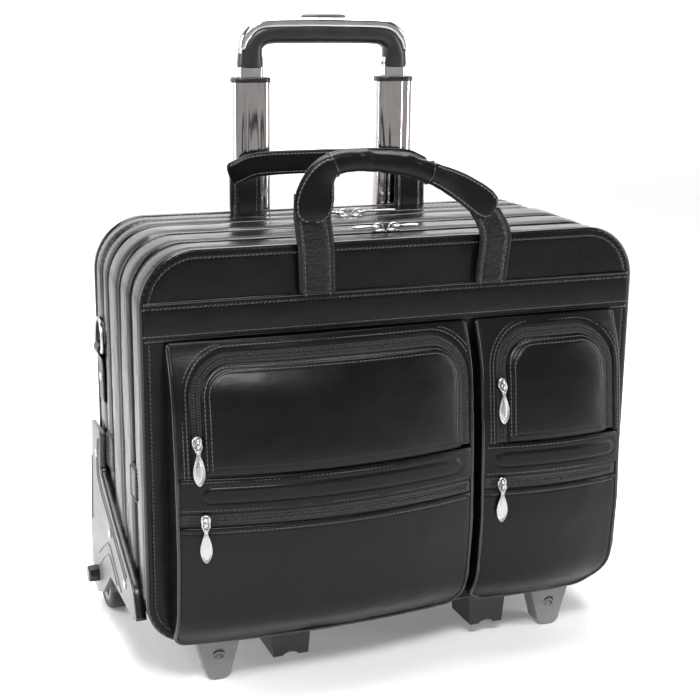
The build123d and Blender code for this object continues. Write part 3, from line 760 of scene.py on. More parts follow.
xs = np.arange(-219.5, 219.6, 1.8)
zs = np.linspace(BAND[0], BAND[1], 22)
rows = [[(x, band_depth(x, z), z) for x in xs] for z in zs]
band = shell("front_band_leather", rows, "leather", "front_section", solid=1.2)
for z, r, name in ((BAND[1], 1.5, "upper"), (BAND[0], 1.2, "lower")):
    tube(f"band_edge_{name}", [(x, band_depth(x, z) - 0.1, z) for x in xs], r, "piping", "front_section",
         False, 10, 2.6,
         0.25)
for z, slant, name in ((BAND[1] - 4.0, 0.45, "upper"), (BAND[0] + 4.0, 0.0, "lower")):
    stitches(f"band_stitches_{name}", [(x, band_depth(x, z) - 0.55, z) for x in xs], (0, -1, 0),
             "front_section",
             slant=slant)
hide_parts("front_band")

# ------------------------------------------------------------------ pockets
POCKET_Z = (46, 56, 75, 130, 200, 262, 290, 303)
POCKET_OUT = (3, 14, 25, 30, 27, 20, 10, 3)
POCKET_CROWN = (0.55, 0.8, 1.0, 1.0, 1.0, 0.9, 0.55, 0.3)
FLAP_Z = (206.0, 287.0)
FLAP_ZIP = 9.0
FLAP_ROOT = 199.5
LOWER_ZIP = 163.0
FLAP_R = 26
ROUNDING = np.linspace(-9, 9, 7)


def from_table(z, values):
    """A pocket table read at a height, averaged over a short span so that its corners are round."""
    return float(np.mean(np.interp(z + ROUNDING, POCKET_Z, values)))


class Pocket:
    """A front pocket's curved outer face."""

    def __init__(self, side, x0, x1, bulge, flap, round_left, round_right):
        self.side, self.x0, self.x1, self.bulge = side, x0, x1, bulge
        self.flap = flap
        self.round = (round_left, round_right)
        self.mid, self.half = (x0 + x1) / 2, (x1 - x0) / 2

    def stand(self, z):
        return from_table(z, POCKET_OUT)

    def depth(self, x, z):
        crown = self.bulge * from_table(z, POCKET_CROWN)
        u = (x - self.mid) / self.half
        return -(self.stand(z) + crown * (1 - u * u))

    def limits(self, z):
        """Left and right edge at a height: the lower corners are round."""
        edges = []
        for r, edge, way in ((self.round[0], self.x0, 1), (self.round[1], self.x1, -1)):
            fall = r - (z - POCKET_Z[0])
            edges.append(edge + way * (r - math.sqrt(max(r * r - fall * fall, 0))) if fall > 0 else edge)
        return edges

    def normal(self, x, z):
        dx = (self.depth(x + 1, z) - self.depth(x - 1, z)) / 2
        dz = (self.depth(x, z + 1) - self.depth(x, z - 1)) / 2
        return unit((dx, -1.0, dz))

    def spot(self, x, z, lift=0.0):
        n = self.normal(x, z)
        return (x + n[0] * lift, self.depth(x, z) + n[1] * lift, z + n[2] * lift)

    def patch(self, name, z_list, lift, look="pocket", body="front_section", step=2.4, solid=1.4):
        """The face between heights; lift(x, z, u) raises it."""
        count = max(12, int((self.x1 - self.x0) / step))
        rows = []
        for z in z_list:
            left, right = self.limits(z)
            rows.append([self.spot(x, z, lift(x, z, min(x - left, right - x))) for x in np.linspace(left,
                                                                                                    right,
                                                                                                    count)])
        return shell(name, rows, look, body, solid=solid)

    def line(self, name, points, lift, body="front_section", slant=0.0):
        path = [self.spot(x, z, lift) for x, z in points]
        stitches(name, path, [self.normal(x, z) for x, z in points], body, slant=slant)


def arch_line(x0, x1, z0, z1, r, off=0.0, step=2.5):
    """The flap's outline moved out by off: up the left, over the top, down the right."""
    x0, x1, z1, r = x0 - off, x1 + off, z1 + off, max(r + off, 2.0)
    pts = [(x0, z) for z in np.arange(z0, z1 - r, step)]
    pts += [(x0 + r - r * math.cos(a), z1 - r + r * math.sin(a)) for a in np.linspace(0, math.pi / 2, 16)]
    pts += [(x, z1) for x in np.arange(x0 + r + step, x1 - r, step)]
    pts += [(x1 - r + r * math.sin(a), z1 - r + r * math.cos(a)) for a in np.linspace(0, math.pi / 2, 16)]
    pts += [(x1, z) for z in np.arange(z1 - r - step, z0 - 0.01, -step)]
    return np.array(pts)


def even(points, count):
    p = np.asarray(points, float)
    s = np.concatenate([[0], np.cumsum(np.linalg.norm(np.diff(p, axis=0), axis=1))])
    marks = np.linspace(0, s[-1], count)
    return np.stack([np.interp(marks, s, p[:, k]) for k in range(p.shape[1])], 1)


def soft(e, depth=0.9, reach=1.2):
    return -depth * math.exp(-e / reach)


LEFT = Pocket("left", -202.0, 57.5, 18.0, (-180.5, 46.5), 10.0, 14.0)
RIGHT = Pocket("right", 68.0, 202.0, 8.0, (90.0, 187.5), 14.0, 32.0)
for pk in (LEFT, RIGHT):
    w = pk.side
    fx0, fx1 = pk.flap
    # lower panel
    low_z = np.concatenate([np.linspace(46, 60, 12), np.linspace(62, 150, 36), np.linspace(151.5, 157.6, 6)])

    def low_lift(x, z, u):
        top = 157.6 - z
        return (0.9 * math.exp(-((top - 2.2) / 1.6) ** 2) + soft(u) + soft(top, 0.8, 0.8)
                - 0.4 * math.exp(-((top - 4.6) / 0.7) ** 2) + ripple(x, 90, z, 1.3, 0.3) * min(1, u / 12))

    lower = pk.patch(w + "_pocket_lower", low_z, low_lift)
    pk.line(w + "_lower_stitches", [(x, 153.0) for x in np.arange(pk.x0 + 9, pk.x1 - 7, 2.4)], 0.6)
    # lower zipper: tape and coil
    span = np.arange(pk.x0 + 8, pk.x1 - 5, 2.2)
    tape_rows = [[pk.spot(x, z, -1.6) for x in np.linspace(pk.x0 + 1, pk.x1 - 1, 60)]
                 for z in np.linspace(155, 171, 7)]
    shell(w + "_lower_tape", tape_rows, "tape", "front_section", solid=0.8)
    for side in (-1, 1):
        spots = [pk.spot(x + 0.55 * side, LOWER_ZIP + side * 1.25, -0.9) for x in span]
        beads(f"{w}_lower_coil_{LETTER[side]}", np.array(spots), [(0, 0, 1.0)] * len(span),
              [pk.normal(x, LOWER_ZIP) for x in span], (2.6, 1.5, 1.7), "teeth", "front_section")
    # embossed strip between the zippers
    oval_x = (pk.x0 + 20, pk.x1 - 12) if w == "left" else (pk.x0 + 11, pk.x1 - 6)
    oval_z, oval_r = 184.5, 6.2

    def emboss(x, z, u):
        cx = min(max(x, oval_x[0] + oval_r), oval_x[1] - oval_r)
        away = math.hypot(x - cx, z - oval_z) - oval_r
        lift = 0.7 - 0.9 * math.exp(-(away / 1.0) ** 2) + 0.9 / (1 + math.exp(away * 1.6))
        lift += soft(min(z - 169.0, 198.0 - z), 1.2, 0.9) + soft(u)
        return lift + ripple(x, 130, z, 0.5)

    pk.patch(w + "_pocket_strip", np.linspace(169.0, 198.0, 30), emboss, step=1.6)
    for z, word in ((171.8, "low"), (195.2, "high")):
        pk.line(f"{w}_strip_stitches_{word}", [(x, z) for x in np.arange(pk.x0 + 5, pk.x1 - 5, 2.4)], 0.95)
    # frame round the flap
    count = 260
    inner = even(arch_line(fx0, fx1, 198.5, FLAP_Z[1], FLAP_R, FLAP_ZIP), count)
    outer_pts = ([(pk.x0, z) for z in np.arange(198.5, 300, 2.0)] + [(x, 304.0) for x in np.arange(pk.x0,
                                                                                                   pk.x1,
                                                                                                   2.0)]
                 + [(pk.x1, z) for z in np.arange(300, 198.0, -2.0)])
    outer = even(outer_pts, count)
    rows = []
    levels = (0.0, 0.03, 0.08, 0.15, 0.22, 0.3, 0.4, 0.5, 0.6, 0.7, 0.8, 0.9, 0.96, 1.0)
    for t in levels:
        row = []
        for (ax, az), (bx, bz) in zip(inner, outer):
            x, z = ax + (bx - ax) * t, az + (bz - az) * t
            gap = math.hypot(bx - ax, bz - az)
            e_in, e_out = t * gap, (1 - t) * gap
            lift = 0.8 + soft(e_in, 1.3, 1.0) + soft(e_out, 0.9,
                                                     1.0) - 0.4 * math.exp(-((e_in - 3.4) / 0.7) ** 2)
            row.append(pk.spot(x, z, lift + ripple(x, 170, z, 0.9)))
        rows.append(row)
    frame_piece = shell(w + "_pocket_frame", rows, "pocket", "front_section", solid=1.3)
    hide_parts(w + "_pocket")
    for off, word in ((3.4, "a"), (6.4, "b")):
        pts = arch_line(fx0, fx1, 200.0, FLAP_Z[1], FLAP_R, FLAP_ZIP + off)
        pts = [q for q in pts if pk.x0 + 2 < q[0] < pk.x1 - 2 and q[1] < 301]
        pk.line(f"{w}_frame_stitches_{word}", pts, 1.1)
    # arched zipper
    tape_in = even(arch_line(fx0, fx1, 199.0, FLAP_Z[1], FLAP_R, -0.8), count)
    tape_out = even(arch_line(fx0, fx1, 199.0, FLAP_Z[1], FLAP_R, FLAP_ZIP + 1.5), count)
    rows = [[pk.spot(ax + (bx - ax) * t, az + (bz - az) * t, -1.5) for (ax, az), (bx, bz) in zip(tape_in,
                                                                                                 tape_out)]
            for t in np.linspace(0, 1, 7)]
    shell(w + "_flap_tape", rows, "tape", "front_section", solid=0.8)
    coil = arch_line(fx0, fx1, 202.0, FLAP_Z[1], FLAP_R, FLAP_ZIP / 2, 1.0)
    steps = even(coil, int(np.sum(np.linalg.norm(np.diff(coil, axis=0), axis=1)) / 2.2))
    tang = np.gradient(steps, axis=0)
    for side in (-1, 1):
        spots, ways, outs = [], [], []
        for (x, z), (tx, tz) in zip(steps, tang):
            tx, tz = tx / math.hypot(tx, tz), tz / math.hypot(tx, tz)
            nx, nz = -tz * side, tx * side
            spots.append(pk.spot(x + nx * 1.25 + tx * 0.55 * side, z + nz * 1.25 + tz * 0.55 * side, -0.7))
            ways.append((nx, 0, nz))
            outs.append(pk.normal(x, z))
        beads(f"{w}_flap_coil_{LETTER[side]}", np.array(spots), ways, outs, (2.6, 1.5, 1.7), "teeth",
              "front_section")
    # domed flap
    levels = (0.0, 0.4, 1.0, 1.8, 2.6, 3.4, 4.4, 5.4, 6.4, 7.4, 9, 11.5, 14.5, 18.5, 23)

    def flap_loop(k):
        upper = arch_line(fx0, fx1, FLAP_ROOT + k, FLAP_Z[1], FLAP_R, -k)
        base = [(x, FLAP_ROOT + k) for x in np.linspace(fx1 - k, fx0 + k, 90)[1:-1]]
        return even(np.vstack([upper, base, upper[:1]]), count + 100)[:-1]

    def dome(x, z):
        u = (x - (fx0 + fx1) / 2) / ((fx1 - fx0) / 2)
        v = (z - FLAP_ROOT) / (FLAP_Z[1] - FLAP_ROOT)
        swell = max(0.0, 1 - u * u) ** 0.5 * max(0.0, 1 - (2 * v - 1) ** 4) ** 0.5
        return 3.0 * swell + ripple(x, 210, z, 1.1, 0.25)

    rows = []
    for k in levels:
        row = []
        for x, z in flap_loop(k):
            lift = 0.9 + soft(k, 2.2, 0.9) + dome(x, z) * min(1, k / 6)
            lift -= 0.5 * math.exp(-((k - 2.6) / 0.6) ** 2) + 0.5 * math.exp(-((k - 6.4) / 0.6) ** 2)
            row.append(pk.spot(x, z, lift))
        rows.append(row)
    innermost = flap_loop(levels[-1])
    mid_z = (FLAP_ROOT + FLAP_Z[1]) / 2
    for t in (0.2, 0.4, 0.6, 0.8, 1.0):
        row = []
        for x, z in innermost:
            sx = round(min(max(x, fx0 + 44), fx1 - 44) / 4) * 4
            px, pz = x + (sx - x) * t, z + (mid_z - z) * t
            row.append(pk.spot(px, pz, 0.9 + dome(px, pz)))
        rows.append(row)
    flap = ringed(w + "_flap_leather", rows, "pocket", w + "_flap", solid=1.4)
    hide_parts(w + "_pocket_flap")
    for off, word in ((-2.6, "a"), (-6.4, "b")):
        pts = arch_line(fx0, fx1, FLAP_Z[0], FLAP_Z[1], FLAP_R, off)
        path = [pk.spot(x, z, 1.0 + dome(x, z) * min(1, -off / 6)) for x, z in pts]
        stitches(f"{w}_flap_stitches_{word}", path, [pk.normal(x, z) for x, z in pts], w + "_flap")
    # wall and edge cord
    border = [(pk.x0, z) for z in np.arange(303, 46 + pk.round[0], -2.5)]
    border += [(pk.x0 + pk.round[0] * (1 - math.cos(a)), 46 + pk.round[0] * (1 - math.sin(a)))
               for a in np.linspace(0, math.pi / 2, 14)]
    border += [(x, 46.0) for x in np.arange(pk.x0 + pk.round[0] + 2.5, pk.x1 - pk.round[1] - 2, 2.5)]
    border += [(pk.x1 - pk.round[1] * (1 - math.sin(a)), 46 + pk.round[1] * (1 - math.cos(a)))
               for a in np.linspace(0, math.pi / 2, 10)]
    border += [(pk.x1, z) for z in np.arange(46 + pk.round[1] + 2.5, 303.5, 2.5)]
    border = np.array(border)
    edge_path = np.array([pk.spot(x, z, 0.1) for x, z in border])
    tube(w + "_pocket_cord", edge_path, 1.7, "piping", "front_section", False, 10, 2.6, 0.3)
    rows = []
    away = np.gradient(border, axis=0)
    for t in np.linspace(0, 1, 9):
        row = []
        for (x, d, z), (tx, tz) in zip(edge_path, away):
            length = math.hypot(tx, tz)
            ox, oz = tz / length * -1, tx / length
            push = -1.6 * math.sin(math.pi * t) + 1.2 * t + ripple(x * 2, t * 60, z * 3, 0.9)
            row.append((x - ox * push, d * (1 - t) + 0.5 * t, z - oz * push))
        rows.append(row)
    shell(w + "_pocket_wall", rows, "leather", "front_section",
         solid=1.2)
    make(w + "_pocket_back", [(pk.x0 + 4, -3.4, 52), (pk.x1 - 4, -3.4, 52), (pk.x1 - 4, -3.4, 300),
                              (pk.x0 + 4, -3.4, 300)], [(0, 1, 2, 3)], "lining", "front_section", solid=0.8)
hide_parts("pocket_zippers")


def strap_leather(name, x_path, d_path, z0, z1, width, thick, look="pebbled"):
    """A flat strap with rolled, stitched edges, rising from z0 to z1."""
    zs = np.arange(z0, z1 + 0.1, 2.0)
    across = np.array([-1.0, -0.98, -0.92, -0.84, -0.74, -0.66, -0.58, -0.4, -0.2, 0, 0.2, 0.4, 0.58, 0.66,
                       0.74, 0.84,
                       0.92, 0.98, 1.0])
    rows = []
    for z in zs:
        end = min(1.0, math.sqrt(max(0.0, (z - z0 + 1.5) / 6.0)))
        mid = d_path(z)
        x = x_path(z)
        w = width / 2 * (0.90 + 0.10 * end)
        ring = []
        for u in across:
            h = 0.8 * (1 - abs(u) ** 8) + 0.45 * math.exp(-((abs(u) - 0.88) / 0.08) ** 2)
            h -= 0.30 * math.exp(-((abs(u) - 0.66) / 0.05) ** 2)
            ring.append((x + u * w, mid - thick / 2 * h - ripple(u * 20, 50, z * 3, 0.25), z))
        for u in across[::-1]:
            ring.append((x + u * w * 0.985, mid + thick / 2 * 0.9 * (1 - abs(u) ** 8) + 0.1, z))
        rows.append(ring)
    pts, faces = capped(rows, np.mean(rows[0], 0), np.mean(rows[-1], 0))
    strap = make(name, pts, faces, look, None)
    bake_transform(strap)
    for side in (-1, 1):
        line = [(x_path(z) + side * width / 2 * 0.66, d_path(z) - thick / 2 * 0.62 - 0.1, z) for z in zs]
        q, t = resample(line, STITCH_PITCH)
        row = beads(f"{name}_stitches_{'l' if side < 0 else 'r'}", q, t, [(0, -1, 0)] * len(q), STITCH,
                    "thread", None)
        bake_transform(row)


def front_strap_depth(z):
    """The strap lies on the panel, then leans out a little over the edge to the handle."""
    lean = 1 / (1 + math.exp(-(z - 366) / 6))
    return -6.6 - 1.2 * lean


def left_strap_x(z):
    return float(np.interp(z, (336, 372, 400, 421), (-77, -78.5, -82.5, -82)))


def right_strap_x(z):
    return float(np.interp(z, (336, 352, 364, 374, 382, 390, 398, 404), (79.5, 80.5, 82, 82.5, 81, 77, 71.5,
                                                                         67)))


strap_leather("front_strap_left", left_strap_x, front_strap_depth, 336.5,
              419.0,
              32.0, 5.4)
strap_leather("front_strap_right", right_strap_x, front_strap_depth, 336.5,
              402.0,
              30.0, 5.4)

GRIP = [(-84.5, -12.0, 396), (-83.5, -12.2, 405), (-81.5, -11.4, 415), (-78.5, -10.0, 425),
        (-74.0, -8.0, 433.5),
        (-66, -6.6, 440), (-52, -6, 443.5), (-28, -6, 442.5), (0, -6, 438), (20, -6, 431.5), (36, -6.6, 425),
        (50, -8.4, 417.5), (62, -10.6, 409.5), (70, -11.6, 403.5), (77, -11.8, 398)]
grip_path = smooth_path(GRIP, 9)
marks = np.linspace(0, 1, len(grip_path))


KEYS = (0, 0.02, 0.05, 0.10, 0.16, 0.22, 0.28, 0.36, 0.44, 0.6, 0.68, 0.76, 0.84, 0.91, 0.96, 0.985, 1.0)
WIDE = (5, 11, 15, 16.8, 16.6, 14.6, 12.2, 9.6, 9.0, 8.8, 9.6, 11.4, 12.6, 12.8, 11.2, 8, 4)
THICK = (1.2, 1.7, 2.0, 2.2, 2.6, 3.6, 5.6, 8.4, 9.0, 8.8, 7.4, 4.2, 2.6, 2.1, 1.8, 1.6, 1.2)
widths = np.interp(marks, KEYS, WIDE)
thicks = np.interp(marks, KEYS, THICK)
grip = loft("front_grip", grip_path, widths, thicks, "leather", "front_handle", 40, 2.5)
for v in grip.data.vertices:
    p = v.co
    rolled = math.exp(-((p.x / MM + 12) / 42) ** 4)
    fold = 1.5 * rolled * noise.noise(Vector((p.x * 130, p.y * 30, p.z * 30)))
    fold += 0.35 * noise.noise(Vector((p.x * 90, p.y * 40, p.z * 55))) + 0.25 * rolled * noise.noise(p * 240)
    v.co = p + v.normal * (fold * MM)
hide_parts("front_handle")
for word, index in (("left", 46), ("right", len(grip_path) - 46)):
    t = unit(grip_path[index + 1] - grip_path[index - 1])
    side_v = unit(np.cross(t, (0, 1, 0)))
    ring = [grip_path[index] + side_v * (widths[index] + 0.5) * math.cos(a) + np.array([0, 1.0, 0])
            * (thicks[index] + 0.5) * math.sin(a) for a in circle(30)]
    tube(f"grip_seam_{word}", ring, 0.8, "piping", "front_handle", True, 8, 2.5)
for word, lo, hi in (("left", 1, 44), ("right", len(grip_path) - 44, len(grip_path) - 2)):
    for side in (-1, 1):
        line = []
        for i in range(lo, hi):
            t = unit(grip_path[i + 1] - grip_path[i - 1])
            wide = unit(np.cross(t, (0, 1, 0)))
            line.append(grip_path[i] + wide * side * (widths[i] - 2.6)
                        + np.array([0, -thicks[i] * 0.93 - 0.1, 0]))
        stitches(f"grip_stitches_{word}_{LETTER[side]}", line, (0, -1, 0), "front_handle")

REAR_D = 176.0


def rear_depth(z):
    return REAR_D - 1.2 * math.exp(-((z - 372) / 8) ** 2)


for x, word in ((-82.0, "left"), (82.0, "right")):
    strap_leather(f"rear_strap_{word}", lambda z, x=x: x, rear_depth, 371.0,
                  417.0, 31.0, 5.0,
                  "piping")
REAR = [(-98, REAR_D, 411), (-90, REAR_D, 414), (-78, REAR_D, 419.0), (-60, REAR_D, 421),
        (-30, REAR_D, 421.4),
        (0, REAR_D, 421.5), (30, REAR_D, 421.4), (60, REAR_D, 421), (78, REAR_D, 419.0), (90, REAR_D, 414),
        (98, REAR_D, 411)]
rear_path = smooth_path(REAR, 8)
count = len(rear_path)
REAR_ENDS = (0, 0.015, 0.035, 0.07)
rear_w = np.interp(from_ends(count), REAR_ENDS, (3.0, 7.5, 9.8, 11.0))
rear_t = np.interp(from_ends(count), REAR_ENDS, (1.2, 2.4, 3.2, 3.6))
rear_grip = loft("rear_grip", rear_path, rear_w, rear_t, "leather", "rear_handle", 36, 3.2)
for v in rear_grip.data.vertices:
    v.co = v.co + v.normal * (0.4 * noise.noise(Vector((v.co.x * 60, v.co.y * 40, v.co.z * 40))) * MM)
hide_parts("rear_handle")
for side in (-1, 1):
    for face in (-1, 1):
        line = []
        for i in range(5, count - 5):
            t = unit(rear_path[i + 1] - rear_path[i - 1])
            wide = unit(np.cross(t, (0, 1, 0)))
            line.append(rear_path[i] + wide * side * 8.2 + np.array([0, face * 3.75, 0]))
        stitches(f"rear_grip_stitches_{LETTER[side]}{'f' if face < 0 else 'b'}", line, (0, face, 0),
                 "rear_handle")

# ------------------------------------------------------------------ zipper sliders, pulls
PIN_Z = 5.4


def stacked(outline_at, levels):
    """Rings one above the other, closed at both ends; outline_at(level) gives a ring's points."""
    rows = [outline_at(k) for k in levels]
    return capped(rows, np.mean(rows[0], 0), np.mean(rows[-1], 0))


def merge(*shapes):
    pts, faces = [], []
    for p, f in shapes:
        base = sum(len(q) for q in pts)
        pts.append(np.asarray(p))
        faces += [tuple(base + k for k in face) for face in f]
    return np.vstack(pts), faces


def ring_shape(centre, radius, wire, axis, n=28, m=10, squash=1.0):
    """A wire ring round an axis ('x', 'y' or 'z')."""
    rows = []
    for a in circle(n):
        row = []
        for b in circle(m):
            r = radius + wire * math.cos(b)
            u, v, w = r * math.cos(a), r * squash * math.sin(a), wire * math.sin(b)
            p = {"x": (w, u, v), "y": (u, w, v), "z": (u, v, w)}[axis]
            row.append(np.array(centre) + p)
        rows.append(row)
    return np.array(rows).reshape(-1, 3), grid_faces(n, m, True, True)


def slider_shape():
    """Arrow-shaped slider body with a raised bridge over the pull's pin."""
    def shield(k):
        h, grow = ((0, 0.86), (0.5, 1.0), (1.7, 1.0), (2.5, 0.9), (2.9, 0.72))[k]
        ring = []
        for a in circle(40):
            y = 6.0 * math.sin(a)
            x = 4.1 * math.cos(a) * (1.0 - 0.22 * math.sin(a))
            notch = 1.3 * math.exp(-((a - math.pi / 2) / 0.35) ** 2)
            ring.append((x * grow, (y - notch) * grow, h))
        return ring

    def bridge(k):
        t = k / 16
        a = math.pi * t
        cy, cz = -4.6 * math.cos(a), 2.2 + 5.4 * math.sin(a) ** 0.8
        ring = []
        for b in circle(12):
            ring.append((1.5 * math.cos(b), cy + 0.55 * math.sin(b) * math.cos(a) * -1,
                         cz + 0.55 * math.sin(b) * math.sin(a)))
        return ring

    return merge(stacked(shield, range(5)), stacked(bridge, range(17)))


def drop_half(t, width, neck):
    """Half width of a pull along its length: a narrow neck and a long drop."""
    along = min(max((t - 0.2) / 0.8, 0), 1)
    body = math.sin(math.pi * along ** 1.35) ** 0.62
    return max(neck * (1 if t < 0.35 else max(0, 1 - (t - 0.35) * 4)), width * body)


def pull_shape(length, width=4.9):
    """A teardrop with a raised rim, a long embossed oval and an eye that hangs on the slider."""
    n = 36
    ts = np.linspace(0.13, 0.995, n)
    right = [(max(drop_half(t, width, 1.5), 0.4), length * t) for t in ts]
    ring = right + [(-x, y) for x, y in right[::-1]]
    ring = np.array(ring)
    mid_y = length * 0.62
    z0 = PIN_Z - 1.6

    def level(k):
        scale, h = ((0.97, 0.1), (1.0, 0.35), (1.0, 1.2), (0.95, 1.75), (0.86, 1.8), (0.78, 1.45),
                    (0.70, 1.2),
                    (0.50, 1.25), (0.42, 1.55), (0.30, 1.75), (0.1, 1.8))[k]
        return [(x * scale, mid_y + (y - mid_y) * (1 - (1 - scale) * 0.55), z0 + h) for x, y in ring]

    plate = stacked(level, range(11))
    eye = ring_shape((0, 2.3, PIN_Z - 0.8), 2.9, 0.8, "z")
    collar = ring_shape((0, length * 0.17, PIN_Z - 0.8), 1.9, 0.8, "y", 20, 8, 0.7)
    return merge(plate, eye, collar)


def hardware(slider, pull, x, d, z, pin, outward, length=34.0, width=4.9):
    """A zipper slider and its pull, with pin and top facing the given ways; each rides on its own body."""
    out = Vector(outward).normalized()
    px = Vector(pin).normalized()
    turn = Matrix((px, out.cross(px).normalized(), out)).transposed().to_4x4()
    for node, (points, faces) in ((slider, slider_shape()), (pull, pull_shape(length, width))):
        p = points.copy()
        p[:, 1] -= FRONT / MM
        piece = make(node + "_metal", p, faces, "nickel")
        piece.data.transform(Matrix.Translation(Vector(at(x, d, z))) @ turn)
        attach(piece, node)
        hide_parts(node)


SEAT = 1.0
FLAP_LEAN = (POCKET_OUT[5] - POCKET_OUT[4]) / (POCKET_Z[5] - POCKET_Z[4])
for pk, x, z in ((LEFT, -186.0, 227.0), (RIGHT, 84.0, 250.0)):
    hardware(f"{pk.side}_flap_slider", f"{pk.side}_flap_pull", x, pk.depth(x, z) - SEAT, z, (-1, 0, 0),
             (0, -1, -FLAP_LEAN))
for pk, x in ((LEFT, -181.0), (RIGHT, 84.0)):
    arc_r = (pk.half ** 2 + pk.bulge ** 2) / (2 * pk.bulge)
    lean = math.asin((x - pk.mid) / arc_r)
    hardware(f"{pk.side}_lower_slider", f"{pk.side}_lower_pull", x, pk.depth(x, LOWER_ZIP) - SEAT, LOWER_ZIP,
             (-math.cos(lean), -math.sin(lean), 0), (math.sin(lean), -math.cos(lean), 0))
for zip_name, d, length, width in (("laptop_zipper", 123.2, 38.0, 1.9), ("file_zipper", 38.7, 24.0, 3.4)):
    for sign in (-1, 1):
        n = f"{zip_name}_{WORD[sign]}"
        hardware(n + "_slider", n + "_pull", 1.0 + sign * 7.0, d, Z_HIGH - 0.8, (0, -sign, 0), (0, 0, 1),
                 length, width)

# ------------------------------------------------------------------ side rings
RING_D, RING_Z = 160.0, 262.0
for side, word in WORD.items():
    rx = side * (HALF + 2.2)
    loop = smooth_path([(rx, RING_D - 13.5, RING_Z), (rx, RING_D - 15, RING_Z + 8), (rx, RING_D - 14.2,
                                                                                     RING_Z + 17),
                        (rx, RING_D - 8, RING_Z + 25.5), (rx, RING_D, RING_Z + 27.5),
                        (rx, RING_D + 8, RING_Z + 25.5),
                        (rx, RING_D + 14.2, RING_Z + 17), (rx, RING_D + 15, RING_Z + 8), (rx, RING_D + 13.5,
                                                                                          RING_Z)],
                       8)
    ring_obj = tube(f"{word}_ring_loop", loop, 1.75, "nickel", f"{word}_ring", False, 14, 1.5)
    tube(f"{word}_ring_bar", [(rx, RING_D - 14, RING_Z), (rx, RING_D + 14, RING_Z)], 1.9, "nickel",
         f"{word}_ring",
         False, 14, 2)
    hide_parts(f"{word}_d_ring")
    rows = []
    profile = [(-1.6, 214.5), (0.9, 214.2), (1.5, 217), (1.6, 230), (1.8, 246), (2.6, 254), (4.8, 258.4),
               (6.0, 262),
               (5.0, 265.4), (2.6, 266.8), (0.3, 265.0), (-1.6, 264.2)]
    for u in np.linspace(-1, 1, 21):
        edge = 1 - abs(u)
        rows.append([(side * (HALF - 1.2 + h + (0.3 if 0.10 < edge < 0.16 else 0.5) * (h > 0)
                              - 0.9 * math.exp(-edge / 0.05) * (h > 0)), RING_D + u * 10, z)
                     for h, z in smooth_path([(0, h, z) for h, z in profile], 5)[:, 1:]])
    chape = shell(f"{word}_chape_leather", rows, "leather", "rear_case", solid=1.2)
    if side < 0:
        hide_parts("ring_chapes")
    for u in (-0.78, 0.78):
        stitches(f"{word}_chape_stitches_{'a' if u < 0 else 'b'}",
                 [(side * (HALF + 1.15), RING_D + u * 10, z) for z in np.linspace(217, 250, 20)],
                 (side, 0, 0),
                 "rear_case")


# ------------------------------------------------------------------ moulded ribs on the wheel housings
HOUSING_FACE = HALF + 5.5
FRONT_EDGE = [(150, 186), (155, 149), (101, 120), (25, 86), (14, 62)]
for side, word in WORD.items():
    hx = side * (HOUSING_FACE + 0.15)
    for k, (shift_d, shift_z) in enumerate(((9, -7.0), (14.5, -11.5))):
        line = smooth_path([(hx, d + shift_d, z + shift_z * (0.4 if i == 0 else 1)) for i, (d, z) in
                            enumerate([(152, 180), (156, 148), (104, 120), (44, 92)])], 10)
        tube(f"{word}_housing_rib_{k}", line, 0.75, "housing", "rear_case", False, 8, 3)
    for k, line in enumerate((
            [(hx, 197, 150), (hx, 201, 120), (hx, 206, 84)],
            [(hx, 172, 50), (hx, 150, 66), (hx, 128, 76), (hx, 112, 70), (hx, 96, 60)],
            [(hx, 176, 60), (hx, 152, 76), (hx, 127, 87), (hx, 104, 76), (hx, 78, 61)])):
        tube(f"{word}_housing_bead_{k}", smooth_path(line, 10), 0.75, "housing", "rear_case", False, 8, 3)
    edge = resample([(0, d, z) for d, z in FRONT_EDGE], 2.5)[0]
    for _ in range(6):
        edge[1:-1] = (edge[:-2] + edge[1:-1] * 2 + edge[2:]) / 4
    rows = []
    trim = ((-7.5, 1.2), (-4.0, 1.6), (-0.5, 1.7), (0.6, 1.0), (0.9, -0.8), (0.7, -3.0), (0.1, -3.8))
    for out, push in trim:
        row = []
        for i, (_, d, z) in enumerate(edge):
            t = unit(edge[min(i + 1, len(edge) - 1)] - edge[max(i - 1, 0)])
            row.append((side * (HOUSING_FACE + out), d + t[2] * push, z - t[1] * push))
        rows.append(row)
    shell(f"{word}_housing_trim", rows, "black", "rear_case", solid=0.8)

# ------------------------------------------------------------------ trolley cover on the back
COVER_X, COVER_D, COVER_Z = 112.0, (182.6, 208.5), (50.5, 365.5)


def cover_depth(x, z):
    """The cover stands out over the tubes and falls to the panel at its sides."""
    u = min(1.0, (COVER_X - abs(x)) / 9.0)
    rise = (1 - (1 - max(u, 0.0)) ** 2.4)
    v = min(1.0, (z - COVER_Z[0]) / 7.0)
    rise *= (1 - (1 - max(v, 0.0)) ** 2.4)
    e = COVER_X - 12 - abs(x)
    seam = 0.7 * math.exp(-(e / 0.9) ** 2) + 0.35 * math.exp(-((e - 4.2) / 0.7) ** 2)
    seam += 0.35 * math.exp(-((COVER_Z[1] - z - 12) / 0.8) ** 2)
    tubes = 0.8 * math.exp(-((abs(x) - 71) / 16) ** 4) + ripple(x, 300, z, 1.3, 0.3)
    return COVER_D[0] + (COVER_D[1] - COVER_D[0] - 1.8 + tubes - seam) * rise


